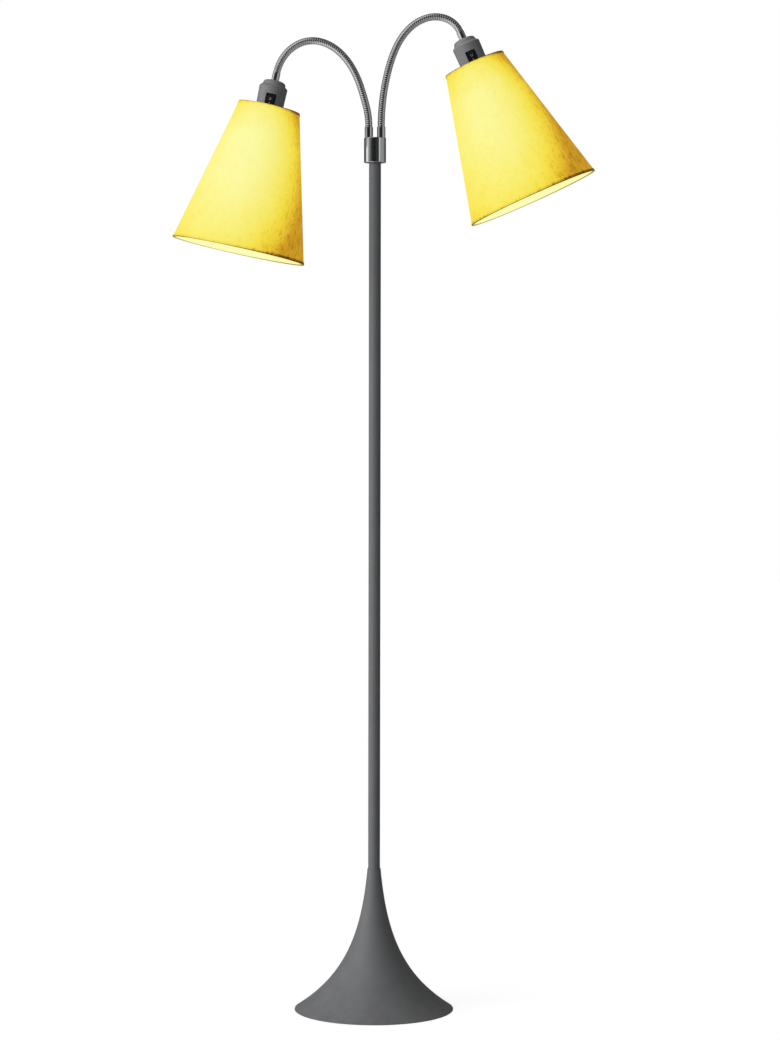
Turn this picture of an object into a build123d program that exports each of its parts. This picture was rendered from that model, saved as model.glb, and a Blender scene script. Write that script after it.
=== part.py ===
from build123d import *
import os
from math import atan, cos, exp, log, pi, radians, sin, sqrt, tan

# Floor lamp with two reading heads: a trumpet base, a straight pole, a coupler and two
# goosenecks, each with a switched lampholder, a bulb and a paper cone shade.
# Millimetres. The origin is on the floor under the pole, +Z is up, the front is -Y and the
# left arm reaches towards -X. Turned outlines are drawn as (radius, height).

os.makedirs("parts", exist_ok=True)

# ---- clearances --------------------------------------------------------------
FIT = 0.05            # radial gap of a piece that sits still in its bore
RUN = 0.06            # radial gap of a piece that turns in its seat
SEAT = 0.1            # gap between flat or sloping pieces that rest on each other
LOOSE = 1.0           # room left round a casting inside its cover
SPRING_GAP = 0.3      # room between a live contact and what presses on it

# ---- base --------------------------------------------------------------------
BASE_R = 120.0        # foot rim
BASE_H = 214.0        # top of the trumpet
NECK_R = 10.0         # trumpet radius at its top
CORE_R = 3.0          # radius that the trumpet's exponential curve tends to
LIP_Z = 1.6           # top of the upright edge of the foot rim
RIM_LIFT = 0.6        # foot rim above the floor
SHELL_WALL = 1.6
HORN_STATIONS = 9     # points of the trumpet's curve
STATION_CROWDING = 1.5
PAD_T = 2.0           # felt under the foot
PLATE_T = 1.2         # steel closing plate
PLATE_INSET = 0.4     # plate edge to shell
WEIGHT_H = 23.0       # thickness of the cast weight
BOSS_R = 22.0
BOSS_H = 20.0
SOCKET_DEPTH = 22.0   # pole end in the boss
CORD_R = 3.2          # bore for a mains cord
GROMMET_R = 4.3
GROMMET_FLANGE = 1.2
GROMMET_Z = 5.2       # axis of the cord inlet at the back of the rim
GROMMET_L = 17.5      # from its flange to the rim's radius
GROMMET_PROUD = 1.2   # how far the grommet stands out of the shell
CHANNEL_W = 12.0      # cord channel in the weight
BLOCK_L = 24.0        # terminal block
BLOCK_W = 12.0
BLOCK_H = 13.0
BLOCK_Y = 58.0
BLOCK_WAYS = 3
WAY_R = 1.8
WAY_SHARE = 0.35      # height of the ways as a share of the block's

# ---- pole and its fastening ---------------------------------------------------
POLE_R = 9.0
POLE_WALL = 1.2
BOLT_R = 4.95
BOLT_HOLE_R = 5.3
BOLT_HEAD_H = 6.4
BOLT_HEAD_AF = 17.0
BOLT_END = 16.0       # bolt above the pole's lower end
WASHER_R = 12.0
WASHER_T = 2.0
PIT_R = 14.0          # recess for the bolt head under the weight
PLUG_H = 24.0         # threaded plug in the pole's foot

# ---- coupler and lower ferrules ------------------------------------------------
COUPLER_Z = 1277.0
COUPLER_R = 16.5
COUPLER_H = 37.0
COUPLER_EDGE = 0.7
POLE_IN_COUPLER = 12.0
ARM_X = 9.3           # each gooseneck to the pole's axis
FERRULE_R = 6.3
FERRULE_IN = 15.0     # part of a ferrule inside the coupler
FERRULE_OUT = 16.6    # part of a ferrule above the coupler
FERRULE_EDGE = 0.8
GRUB_R = 2.0
GRUB_L = 5.5
GRUB_KEY_AF = 2.0
GRUB_KEY_DEPTH = 2.0

# ---- leads inside the pole -----------------------------------------------------
LEAD_R = 2.4
LEAD_X = 2.5          # each lead to the pole's axis
LEAD_ROOM = 1.0       # room round the leads in the coupler
LEAD_BEND_R = 6.0
LEAD_WINDOW_Z = 71.0  # window in the pole's back wall
LEAD_WINDOW_R = 5.6
LEAD_BEHIND = 27.0    # leads behind the pole's axis, where they rise past the boss

# ---- goosenecks ----------------------------------------------------------------
HOSE_R = 5.4          # crest of the winding
HOSE_ROOT_R = 4.6
HOSE_BORE_R = 3.0
SPIGOT_R = 5.0        # hose end inside a ferrule
SPIGOT_L = 12.0       # in a lower ferrule
LINK_L = 30.7         # one link of the flexible run, along its bend
LINK_RIBS = 7
BORE_STEPS = 6        # straight steps of a link's bore
CREST_SHARE = 0.5     # crest width as a share of the rib pitch
FLANK_SHARE = 0.15    # slope width as a share of the rib pitch
BALL_R = 4.9          # ball seat between two links
BEND_MAX = 30.0       # bend of one joint either way, degrees
BEND_SPARE = 3.0      # bend left before two rims would touch
# Bend of each link but the last, from the coupler to the head, in degrees. The last
# link turns by what is left to meet the head's own tilt.
LEFT_TURNS = (14.4, 4.0, 11.5, 17.8, 26.0, 36.8, 31.5)
RIGHT_TURNS = (4.8, 5.4, 5.5, 9.4, 18.2, 27.1, 37.8)
LEFT_TILT = 12.2      # head's axis off the vertical, foot of the shade outwards
RIGHT_TILT = 24.0

# ---- lampholder, from the top of its cap downwards -------------------------------
TIP_R = 5.8           # upper ferrule
TIP_OUT = 11.5
TIP_IN = 8.0
TIP_STEP = 4.0        # shoulder in the ferrule that the hose's end meets
TIP_THREAD_R = 4.9
TIP_BORE_R = 3.2
CAP_TOP_R = 9.0       # flat of the cap
CAP_DOME_R = 16.8
CAP_DOME_H = 5.0
CAP_NECK_R = 17.4
CAP_NECK_Z = 7.0
CAP_LIP_R = 21.3
CAP_LIP_Z = 10.2
CAP_LIP_H = 1.4
CAP_END_R = 20.5
CAP_WALL = 2.2
NUT_AF = 14.0
NUT_H = 4.0
SKIRT_FLANGE = 4.0
SKIRT_PLUG_H = 3.5    # part of the skirt inside the cap
THREAD_R = 19.8       # outer thread for the shade's ring nut
SKIRT_END_R = 18.4
SKIRT_H = 36.0
THREAD_H = 22.0
INSERT_R = 15.0
INSERT_H = 10.0
INSERT_BORE_R = 4.0
TONGUE_T = 0.8
TONGUE_W = 6.0
TONGUE_RISE = 3.0
NUT_RING_R = 27.0
NUT_RING_H = 3.0
NUT_RING_NECK_R = 22.5
NUT_RING_NECK_H = 4.0
NUT_RING_GRIPS = 12

# ---- rocker switch ---------------------------------------------------------------
BEZEL_W = 15.0
BEZEL_L = 21.0
BEZEL_T = 1.4
BEZEL_CORNER = 0.8
SWITCH_Z = 32.5       # switch centre below the cap's top
SWITCH_FLAT_Y = 19.4  # flat that the bezel sits on, in front of the holder's axis
SWITCH_BODY_W = 12.8
SWITCH_BODY_L = 19.0
SWITCH_BODY_D = 11.0
SWITCH_ROOM = 0.5     # between the switch's body and the skirt
ROCKER_W = 9.4
ROCKER_R = 8.4        # round ends of the rocker, about its pin
ROCKER_PIN_R = 1.3
ROCKER_PIN_L = 11.2
ROCKER_PIN_DEPTH = 3.0  # pin behind the bezel's face
ROCKER_BACK = 1.6
ROCKER_THROW = 18.0   # degrees from on to off
ROCKER_SIDE_GAP = 0.2

# ---- bulb ------------------------------------------------------------------------
CAP_SCREW_R = 13.2
CAP_SCREW_L = 23.0
CAP_TIP_R = 4.6
CAP_TIP_H = 4.0
BULB_NECK_R = 12.9
BULB_R = 30.0
BULB_DROP = 50.0      # from the screw cap's lower end to the bulb's widest circle
GLASS_WALL = 0.9

# ---- shade -----------------------------------------------------------------------
SHADE_DROP = 40.5     # top of the cap to the shade's top rim
SHADE_TOP_R = 46.2
SHADE_END_R = 100.5
SHADE_H = 220.0
PAPER_T = 1.0
BAND_T = 0.5
BAND_H = 4.0
WIRE_R = 1.5
SPIDER_RING_T = 1.6
SPIDER_RING_R = 25.0
SPIDER_ARMS = 3
SPIDER_START = 90.0   # first arm's direction, degrees from +X

# ---- sizes that follow ------------------------------------------------------------
HORN_FALL = (BASE_H - LIP_Z) / log((BASE_R - CORE_R) / (NECK_R - CORE_R))
POLE_BORE_R = POLE_R - POLE_WALL
PLATE_Z = PAD_T
WEIGHT_Z = PLATE_Z + PLATE_T
BOSS_Z = WEIGHT_Z + WEIGHT_H
POLE_Z = BOSS_Z + BOSS_H - SOCKET_DEPTH
POLE_TOP = COUPLER_Z + POLE_IN_COUPLER
COUPLER_TOP = COUPLER_Z + COUPLER_H
FERRULE_Z = COUPLER_TOP - FERRULE_IN
HOSE_Z = COUPLER_TOP + FERRULE_OUT
RIM_GAP = HOSE_R * tan(radians((BEND_MAX + BEND_SPARE) / 2))
CAP_H = SWITCH_Z + SWITCH_BODY_L / 2 + SWITCH_ROOM + SKIRT_PLUG_H
SKIRT_Z = -CAP_H
SPIDER_Z = SKIRT_Z - SKIRT_FLANGE - SPIDER_RING_T
SHADE_Z = -SHADE_DROP
INSERT_Z = SKIRT_Z - INSERT_H
BULB_TIP_Z = INSERT_Z - TONGUE_RISE
SCREW_END_Z = BULB_TIP_Z - CAP_TIP_H - CAP_SCREW_L
BULB_Z = SCREW_END_Z - BULB_DROP
PIN_Y = -(SWITCH_FLAT_Y + BEZEL_T - ROCKER_PIN_DEPTH)


# ---- general helpers ---------------------------------------------------------------
def turned(*edges):
    """Solid of revolution about Z from a closed outline of edges."""
    return revolve(Plane.XZ * make_face(Curve() + list(edges)), Axis.Z)


def turned_points(*points):
    """Solid of revolution about Z from straight runs between points."""
    return turned(Polyline(*points, close=True))


def tube(r_in, r_out, z0, z1):
    """Round tube about Z between two heights."""
    return turned_points((r_in, z0), (r_out, z0), (r_out, z1), (r_in, z1))


def rod(radius, z0, z1):
    """Round bar about Z between two heights."""
    return Pos(0, 0, z0) * Cylinder(radius, z1 - z0, align=(Align.CENTER, Align.CENTER, Align.MIN))


def hexagon(across_flats, z0, z1):
    """Hexagonal bar about Z between two heights."""
    prism = extrude(RegularPolygon(across_flats / sqrt(3), 6), z1 - z0)
    return Pos(0, 0, z0) * prism


def block(width, depth, height, x, y, z):
    """Box by its size and the centre of its foot."""
    return Pos(x, y, z) * Box(width, depth, height, align=(Align.CENTER, Align.CENTER, Align.MIN))


def group(*solids):
    """Separate solids that share one node."""
    return Compound(children=[part.solid() for part in solids])


# ---- base ------------------------------------------------------------------------
def horn_radius(z):
    """Trumpet radius at a height: it falls exponentially towards a thin core."""
    return CORE_R + (BASE_R - CORE_R) * exp(-(z - LIP_Z) / HORN_FALL)


def horn_height(radius):
    """Height at which the trumpet has a radius."""
    return LIP_Z - HORN_FALL * log((radius - CORE_R) / (BASE_R - CORE_R))


def horn_slope(z):
    """Size of the trumpet's radial fall for each millimetre of height."""
    return (horn_radius(z) - CORE_R) / HORN_FALL


def horn_curve(inset, z_low, z_high):
    """Points of the curve that lies inside the trumpet's by an inset along its normal,
    from a height near z_high down to z_low. They crowd towards the foot, where it turns most."""
    low_slope = horn_slope(z_low + inset)
    z_foot = z_low + inset * low_slope / sqrt(1 + low_slope**2)
    points = []
    for i in range(HORN_STATIONS):
        z = z_foot + (z_high - z_foot) * (1 - i / (HORN_STATIONS - 1)) ** STATION_CROWDING
        slope = horn_slope(z)
        size = sqrt(1 + slope**2)
        points.append((horn_radius(z) - inset / size, z - inset * slope / size))
    return points


def shell_inner_radius(z):
    """Inside radius of the trumpet's wall at a height."""
    return horn_radius(z) - SHELL_WALL * sqrt(1 + horn_slope(z) ** 2)


def base_shell():
    """Thin trumpet with an upright rim edge, hugging the pole at its neck."""
    outer = horn_curve(0, LIP_Z, BASE_H)
    neck_bore = POLE_R + FIT
    inner = horn_curve(SHELL_WALL, RIM_LIFT, horn_height(neck_bore + SHELL_WALL))
    outline = [
        Spline(*outer),
        Polyline(outer[-1], (BASE_R, RIM_LIFT), inner[-1]),
        Spline(*inner[::-1]),
        Polyline(inner[0], (neck_bore, inner[0][1]), (neck_bore, BASE_H), outer[0]),
    ]
    return turned(*outline) - inlet_arch(GROMMET_R + FIT)


def inlet_arch(radius):
    """Arched notch through the back of the rim, round the cord's axis."""
    arch = Pos(0, GROMMET_Z) * Circle(radius)
    arch += Pos(0, GROMMET_Z / 2 - radius / 2) * Rectangle(2 * radius, GROMMET_Z + radius)
    return Pos(0, BASE_R + GROMMET_L / 2, 0) * extrude(Plane.XZ * arch, 2 * GROMMET_L)


def cord_grommet():
    """Bush lining the inlet, with a flange inside and an end cut to the trumpet's slope."""
    start = BASE_R - GROMMET_L
    on_axis = Pos(0, start, GROMMET_Z) * Rot(-90, 0, 0)
    bush = on_axis * rod(GROMMET_R, 0, 2 * GROMMET_L)
    bush += on_axis * rod(GROMMET_R + GROMMET_FLANGE, 0, GROMMET_FLANGE)
    slope = horn_slope(GROMMET_Z)
    face = Plane((0, horn_radius(GROMMET_Z), GROMMET_Z), z_dir=(0, 1, slope)).offset(GROMMET_PROUD)
    bush -= face * Box(2 * BASE_R, 2 * BASE_R, BASE_R, align=(Align.CENTER, Align.CENTER, Align.MIN))
    return bush - on_axis * rod(CORD_R, -GROMMET_L, 2 * GROMMET_L)


def cord_channel():
    """Radial slot from the inlet to the back of the terminal block, open upwards at its end."""
    inner = BLOCK_Y + BLOCK_W / 2
    roof = GROMMET_Z + GROMMET_R + GROMMET_FLANGE + LOOSE
    slot = block(CHANNEL_W, BASE_R - inner, roof - WEIGHT_Z, 0, (BASE_R + inner) / 2, WEIGHT_Z)
    return slot + block(CHANNEL_W, CHANNEL_W, BOSS_H + WEIGHT_H, 0, inner + CHANNEL_W / 2, WEIGHT_Z)


def base_weight():
    """Cast disc that follows the trumpet's inside, with a boss that holds the pole."""
    side = horn_curve(SHELL_WALL + LOOSE, WEIGHT_Z + LOOSE, BOSS_Z + LOOSE)
    boss = Polyline(
        side[0],
        (side[0][0], BOSS_Z),
        (BOSS_R, BOSS_Z),
        (BOSS_R, BOSS_Z + BOSS_H),
        (0, BOSS_Z + BOSS_H),
        (0, WEIGHT_Z),
        (side[-1][0], WEIGHT_Z),
        side[-1],
    )
    casting = turned(Spline(*side), boss)
    casting -= rod(POLE_R + FIT, POLE_Z, BOSS_Z + BOSS_H)
    casting -= rod(BOLT_HOLE_R, WEIGHT_Z, POLE_Z)
    casting -= rod(PIT_R, WEIGHT_Z, WEIGHT_Z + BOLT_HEAD_H + WASHER_T)
    return casting - cord_channel()


def base_plate():
    """Steel disc that closes the foot, open for the bolt head and the cord."""
    radius = shell_inner_radius(PLATE_Z + PLATE_T) - PLATE_INSET
    plate = rod(radius, PLATE_Z, WEIGHT_Z)
    notch = block(CHANNEL_W, 2 * GROMMET_L, PLATE_T, 0, BASE_R - GROMMET_L / 2, PLATE_Z)
    return plate - rod(PIT_R, PLATE_Z, WEIGHT_Z) - notch


def felt_pad():
    """Felt disc under the plate: it covers the bolt head and rests on the floor."""
    radius = shell_inner_radius(PLATE_Z + PLATE_T) - PLATE_INSET
    notch = block(CHANNEL_W, 2 * GROMMET_L, PAD_T, 0, BASE_R - GROMMET_L / 2, 0)
    return rod(radius, 0, PAD_T) - notch


def terminal_block():
    """Three-way block on the weight, where the mains cord would meet the leads."""
    body = block(BLOCK_L, BLOCK_W, BLOCK_H, 0, BLOCK_Y, BOSS_Z)
    pitch = BLOCK_L / BLOCK_WAYS
    for i in range(BLOCK_WAYS):
        x = (i - (BLOCK_WAYS - 1) / 2) * pitch
        way = Pos(x, BLOCK_Y, BOSS_Z + WAY_SHARE * BLOCK_H)
        body -= way * Rot(90, 0, 0) * rod(WAY_R, -BLOCK_W, BLOCK_W)
        body -= way * rod(WAY_R, 0, BLOCK_H)
    return body


def pole_bolt():
    """Hexagon bolt from under the weight into the pole's plug."""
    seat = WEIGHT_Z + BOLT_HEAD_H
    head = hexagon(BOLT_HEAD_AF, WEIGHT_Z, seat)
    return head + rod(BOLT_R, seat, POLE_Z + BOLT_END)


def pole_washer():
    """Plain washer between the bolt head and the weight."""
    seat = WEIGHT_Z + BOLT_HEAD_H
    return tube(BOLT_HOLE_R, WASHER_R, seat, seat + WASHER_T)


def pole_plug():
    """Threaded sleeve fixed in the pole's foot for the bolt."""
    return tube(BOLT_R + FIT, POLE_BORE_R - FIT, POLE_Z, POLE_Z + PLUG_H)


def pole():
    """Steel tube with a window at the back for the leads, above the weight's boss."""
    window = Pos(0, 0, LEAD_WINDOW_Z) * Rot(-90, 0, 0) * rod(LEAD_WINDOW_R, 0, 2 * POLE_R)
    return tube(POLE_BORE_R, POLE_R, POLE_Z, POLE_TOP) - window


# ---- coupler -----------------------------------------------------------------------
def at_arms(shape):
    """The same piece once on each arm's axis."""
    return [Pos(side * ARM_X, 0, 0) * shape for side in (-1, 1)]


def coupler():
    """Turned block: the pole enters from below and the two ferrules from above."""
    body = rod(COUPLER_R, COUPLER_Z, COUPLER_TOP)
    body = chamfer(body.edges().filter_by(GeomType.CIRCLE), COUPLER_EDGE)
    body -= rod(POLE_R + FIT, COUPLER_Z, POLE_TOP)
    hall = 2 * (LEAD_R + LEAD_ROOM)
    body -= block(2 * ARM_X + hall, hall, FERRULE_Z - POLE_TOP, 0, 0, POLE_TOP)
    for hole in at_arms(rod(FERRULE_R + FIT, FERRULE_Z, COUPLER_TOP)):
        body -= hole
    for place in grub_places():
        body -= place * rod(GRUB_R + FIT, 0, COUPLER_R)
    return body


def grub_places():
    """Axes of the three set screws at the back: one for the pole, one for each ferrule."""
    low = Pos(0, POLE_R + SEAT, COUPLER_Z + POLE_IN_COUPLER / 2)
    highs = [Pos(side * ARM_X, FERRULE_R + SEAT, COUPLER_TOP - FERRULE_IN / 2) for side in (-1, 1)]
    return [place * Rot(-90, 0, 0) for place in (low, *highs)]


def grub_screws():
    """Hexagon-socket set screws."""
    screw = rod(GRUB_R, 0, GRUB_L) - hexagon(GRUB_KEY_AF, GRUB_L - GRUB_KEY_DEPTH, GRUB_L)
    return group(*[place * screw for place in grub_places()])


def lower_ferrules():
    """Plain tubes that hold the goosenecks' lower ends."""
    sleeve = rod(FERRULE_R, FERRULE_Z, HOSE_Z)
    sleeve = chamfer(sleeve.edges().filter_by(GeomType.CIRCLE), FERRULE_EDGE)
    sleeve -= rod(SPIGOT_R + FIT, HOSE_Z - SPIGOT_L, HOSE_Z)
    sleeve -= rod(HOSE_BORE_R + FIT, FERRULE_Z, HOSE_Z - SPIGOT_L)
    return group(*at_arms(sleeve))


def pole_leads():
    """Two leads from the terminal block through the pole, one into each lower ferrule."""
    way_z = BOSS_Z + WAY_SHARE * BLOCK_H
    pitch = BLOCK_L / BLOCK_WAYS
    front = BLOCK_Y - BLOCK_W / 2 - SEAT
    rise = (FERRULE_Z - POLE_TOP) / 3
    climb = pitch / (LEAD_BEHIND - POLE_R)
    leads = []
    for side in (-1, 1):
        route = FilletPolyline(
            (side * pitch, front, way_z),
            (side * pitch, LEAD_BEHIND + pitch, way_z),
            (side * LEAD_X, LEAD_BEHIND, LEAD_WINDOW_Z - pitch),
            (side * LEAD_X, 0, LEAD_WINDOW_Z + climb * POLE_R),
            (side * LEAD_X, 0, POLE_TOP - rise),
            (side * ARM_X, 0, FERRULE_Z - rise / 2),
            (side * ARM_X, 0, FERRULE_Z + FERRULE_IN / 2),
            radius=LEAD_BEND_R,
        )
        leads.append(sweep((route ^ 0) * Circle(LEAD_R), path=route))
    return group(*leads)


# ---- goosenecks ----------------------------------------------------------------------
class Run:
    """One link's centre line in the XZ plane: an arc with a steady turn."""

    def __init__(self, x, z, heading, turn):
        self.x, self.z, self.heading, self.turn = x, z, heading, turn

    def at(self, s):
        """Point and heading (radians from +X) after a length s, straight on past either end."""
        along = min(max(s, 0), LINK_L)
        bend = radians(self.turn) * along / LINK_L
        half = self.heading + bend / 2
        chord = along * (sin(bend / 2) / (bend / 2) if abs(bend) > 1e-9 else 1)
        over, heading = s - along, self.heading + bend
        x = self.x + chord * cos(half) + over * cos(heading)
        z = self.z + chord * sin(half) + over * sin(heading)
        return x, z, heading

    def plane(self, s):
        x, z, heading = self.at(s)
        return Plane((x, 0, z), x_dir=(0, 1, 0), z_dir=(cos(heading), 0, sin(heading)))

def arm_runs(side):
    """The links of one arm from the coupler to the head."""
    turns, tilt = (LEFT_TURNS, LEFT_TILT) if side < 0 else (RIGHT_TURNS, RIGHT_TILT)
    turns = (*turns, 180 - tilt - sum(turns))
    x, z, heading = side * ARM_X, HOSE_Z, pi / 2
    runs = []
    for turn in turns:
        runs.append(Run(x, z, heading, -side * turn))
        x, z, heading = runs[-1].at(LINK_L)
    return runs


def rib_sections(start, end):
    """Stations and radii of the winding between two rims: four circles to each rib."""
    pitch = (end - start) / (LINK_RIBS - 1 + CREST_SHARE)
    sections = []
    for i in range(LINK_RIBS):
        s = start + i * pitch
        crest_end = s + CREST_SHARE * pitch
        sections += [(s, HOSE_R), (crest_end, HOSE_R)]
        if i < LINK_RIBS - 1:
            sections.append((crest_end + FLANK_SHARE * pitch, HOSE_ROOT_R))
            sections.append((s + (1 - FLANK_SHARE) * pitch, HOSE_ROOT_R))
    return sections


def hose_bore(run, s_start, s_end):
    """Round way through a link from before its first rim to past its last."""
    stations = [s_start] + [LINK_L * i / BORE_STEPS for i in range(BORE_STEPS + 1)] + [s_end]
    wires = [Wire.make_circle(HOSE_BORE_R, run.plane(s)) for s in stations]
    return Solid.make_loft(wires, ruled=True)


def hose_link(run, first, last):
    """Ribbed link with a bore: a round seat at its near end and a ball at its far end.
    The first and last links have plain spigots there, for the ferrules."""
    start = SEAT if first else RIM_GAP
    end = LINK_L - (SEAT if last else RIM_GAP)
    wires = [Wire.make_circle(radius, run.plane(s)) for s, radius in rib_sections(start, end)]
    link = Part() + Solid.make_loft(wires, ruled=True)
    tip_spigot = TIP_OUT - TIP_STEP
    if first:
        link += run.plane(-SPIGOT_L) * rod(SPIGOT_R, 0, SPIGOT_L + start)
    else:
        link -= run.plane(0) * Sphere(BALL_R + RUN)
    if last:
        link += run.plane(end) * rod(SPIGOT_R, 0, tip_spigot)
    else:
        link += run.plane(LINK_L) * Sphere(BALL_R)
    return link - hose_bore(run, -SPIGOT_L - LOOSE, LINK_L + tip_spigot + LOOSE)


# ---- lampholder, drawn on its own axis with the cap's top at zero ----------------------
def upper_ferrule():
    """Smooth sleeve on the hose's end, threaded through the top of the cap."""
    sleeve = rod(TIP_R, 0, TIP_OUT)
    sleeve = chamfer(sleeve.edges().filter_by(GeomType.CIRCLE).group_by(Axis.Z)[-1], FERRULE_EDGE / 2)
    sleeve += rod(TIP_THREAD_R, -TIP_IN, 0)
    sleeve -= rod(SPIGOT_R + FIT, TIP_STEP, TIP_OUT)
    return sleeve - rod(TIP_BORE_R, -TIP_IN, TIP_OUT)


def cap_nut():
    """Hexagon nut that clamps the ferrule to the cap from inside."""
    return hexagon(NUT_AF, -CAP_WALL - NUT_H, -CAP_WALL) - rod(TIP_THREAD_R + FIT, -CAP_H, 0)


def cap_outline():
    """Outside of the cap: a domed top, a drawn-in neck, a lip and a slow taper."""
    dome = Spline(
        (CAP_TOP_R, 0), (CAP_DOME_R, -CAP_DOME_H), tangents=[(1, 0), (0, -1)]
    )
    lip_end = -(CAP_LIP_Z + CAP_LIP_H)
    side = Polyline(
        (CAP_DOME_R, -CAP_DOME_H),
        (CAP_NECK_R, -CAP_NECK_Z),
        (CAP_LIP_R, -CAP_LIP_Z),
        (CAP_LIP_R, lip_end),
        (CAP_END_R, -CAP_H),
    )
    return dome, side


def holder_cap():
    """Hollow cap with the switch's flat and cut-out in its front wall."""
    dome, side = cap_outline()
    bore_top = TIP_THREAD_R + FIT
    inner_r = CAP_END_R - CAP_WALL
    inner_neck = CAP_NECK_R - CAP_WALL
    inside = Polyline(
        (CAP_END_R, -CAP_H),
        (inner_r, -CAP_H),
        (inner_r, -CAP_LIP_Z - CAP_WALL),
        (inner_neck, -CAP_NECK_Z - CAP_WALL / 2),
        (inner_neck, -CAP_DOME_H),
        (CAP_TOP_R, -CAP_WALL),
        (bore_top, -CAP_WALL),
        (bore_top, 0),
        (CAP_TOP_R, 0),
    )
    cap = turned(dome, side, inside)
    flat_w, flat_l = BEZEL_W + 2 * SEAT, BEZEL_L + 2 * SEAT
    cap -= Pos(0, -SWITCH_FLAT_Y, -SWITCH_Z) * Box(
        flat_w, CAP_LIP_R, flat_l, align=(Align.CENTER, Align.MAX, Align.CENTER)
    )
    window = Box(SWITCH_BODY_W + 2 * FIT, CAP_LIP_R, SWITCH_BODY_L + 2 * FIT)
    return cap - Pos(0, -CAP_LIP_R, -SWITCH_Z) * window


def switch_housing():
    """Bezel and body of the rocker switch, open in front for the rocker and bored for its pin."""
    bezel = extrude(RectangleRounded(BEZEL_W, BEZEL_L, BEZEL_CORNER), BEZEL_T)
    bezel = Pos(0, -SWITCH_FLAT_Y, -SWITCH_Z) * Rot(90, 0, 0) * bezel
    body = Pos(0, -SWITCH_FLAT_Y, -SWITCH_Z) * Box(
        SWITCH_BODY_W, SWITCH_BODY_D, SWITCH_BODY_L, align=(Align.CENTER, Align.MIN, Align.CENTER)
    )
    well_w = ROCKER_W + 2 * ROCKER_SIDE_GAP
    well = Rot(0, 90, 0) * Cylinder(ROCKER_R + ROCKER_SIDE_GAP, well_w)
    swing = ROCKER_R * sin(radians(ROCKER_THROW / 2))
    keep = Box(
        well_w, 2 * ROCKER_R, 3 * ROCKER_R, align=(Align.CENTER, Align.MAX, Align.CENTER)
    )
    well &= Pos(0, ROCKER_BACK + swing + ROCKER_SIDE_GAP, 0) * keep
    pin = Rot(0, 90, 0) * Cylinder(ROCKER_PIN_R + RUN, ROCKER_PIN_L + 2 * ROCKER_SIDE_GAP)
    at_pin = Pos(0, PIN_Y, -SWITCH_Z)
    return bezel + body - at_pin * well - at_pin * pin


def rocker():
    """Rocker with a shallow V face and round ends about its pin, tipped to on."""
    paddle = Rot(0, 90, 0) * Cylinder(ROCKER_R, ROCKER_W)
    rise = ROCKER_R * tan(radians(ROCKER_THROW / 2))
    face = make_face(
        Polyline(
            (-ROCKER_PIN_DEPTH, 0),
            (-ROCKER_PIN_DEPTH - rise, ROCKER_R),
            (ROCKER_BACK, ROCKER_R),
            (ROCKER_BACK, -ROCKER_R),
            (-ROCKER_PIN_DEPTH - rise, -ROCKER_R),
            close=True,
        )
    )
    paddle &= extrude(Plane.YZ * face, ROCKER_W, both=True)
    paddle += Rot(0, 90, 0) * Cylinder(ROCKER_PIN_R, ROCKER_PIN_L)
    return Pos(0, PIN_Y, -SWITCH_Z) * Rot(ROCKER_THROW / 2, 0, 0) * paddle


def holder_skirt():
    """Lower shell of the lampholder: a plug in the cap, a flange and the shade ring's thread."""
    plug_r = CAP_END_R - CAP_WALL - FIT
    bore = INSERT_R + FIT
    screw_bore = CAP_SCREW_R + SEAT
    flange_end = SKIRT_Z - SKIRT_FLANGE
    thread_end = flange_end - THREAD_H
    outline = [
        (bore, SKIRT_Z + SKIRT_PLUG_H),
        (plug_r, SKIRT_Z + SKIRT_PLUG_H),
        (plug_r, SKIRT_Z),
        (CAP_END_R, SKIRT_Z),
        (CAP_END_R, flange_end),
        (THREAD_R, flange_end),
        (THREAD_R, thread_end),
        (SKIRT_END_R, thread_end),
        (SKIRT_END_R, SKIRT_Z - SKIRT_H),
        (screw_bore, SKIRT_Z - SKIRT_H),
        (screw_bore, INSERT_Z),
        (bore, INSERT_Z),
    ]
    return turned_points(*outline)


def socket_insert():
    """Ceramic disc that carries the contacts."""
    return tube(INSERT_BORE_R, INSERT_R, INSERT_Z, SKIRT_Z)


def socket_contacts():
    """Brass rivet through the ceramic with a tongue that meets the bulb's tip."""
    rivet = rod(INSERT_BORE_R - FIT, INSERT_Z, SKIRT_Z)
    foot = INSERT_Z - TONGUE_T
    tongue = block(TONGUE_W, CAP_SCREW_R, TONGUE_T, 0, 0, foot)
    pad = rod(TONGUE_W / 2, BULB_TIP_Z + SPRING_GAP, INSERT_Z)
    return rivet + tongue + pad


def ring_nut():
    """Nut that holds the shade's ring up against the flange, with finger grips."""
    top = SPIDER_Z - SEAT
    bore = THREAD_R + FIT
    nut = tube(bore, NUT_RING_R, top - NUT_RING_H, top)
    nut += tube(bore, NUT_RING_NECK_R, top - NUT_RING_H - NUT_RING_NECK_H, top - NUT_RING_H)
    for i in range(NUT_RING_GRIPS):
        notch = Pos(NUT_RING_R, 0, 0) * rod(NUT_RING_H / 2, top - NUT_RING_H, top)
        nut -= Rot(0, 0, i * 360 / NUT_RING_GRIPS) * notch
    return nut


# ---- bulb ------------------------------------------------------------------------------
def bulb_cap():
    """Screw cap of the bulb, closed by a tapered insulator and its tip contact."""
    shell_top = BULB_TIP_Z - CAP_TIP_H
    return turned_points(
        (0, BULB_TIP_Z),
        (CAP_TIP_R, BULB_TIP_Z),
        (CAP_SCREW_R, shell_top),
        (CAP_SCREW_R, SCREW_END_Z),
        (0, SCREW_END_Z),
    )


def glass_side(inset):
    """Flowing side of the glass from its neck to the widest circle."""
    return Spline(
        (BULB_NECK_R - inset, SCREW_END_Z),
        (BULB_R - inset, BULB_Z),
        tangents=[(0, -1), (0, -1)],
        tangent_scalars=[0.9, 1.3],
    )


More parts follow.
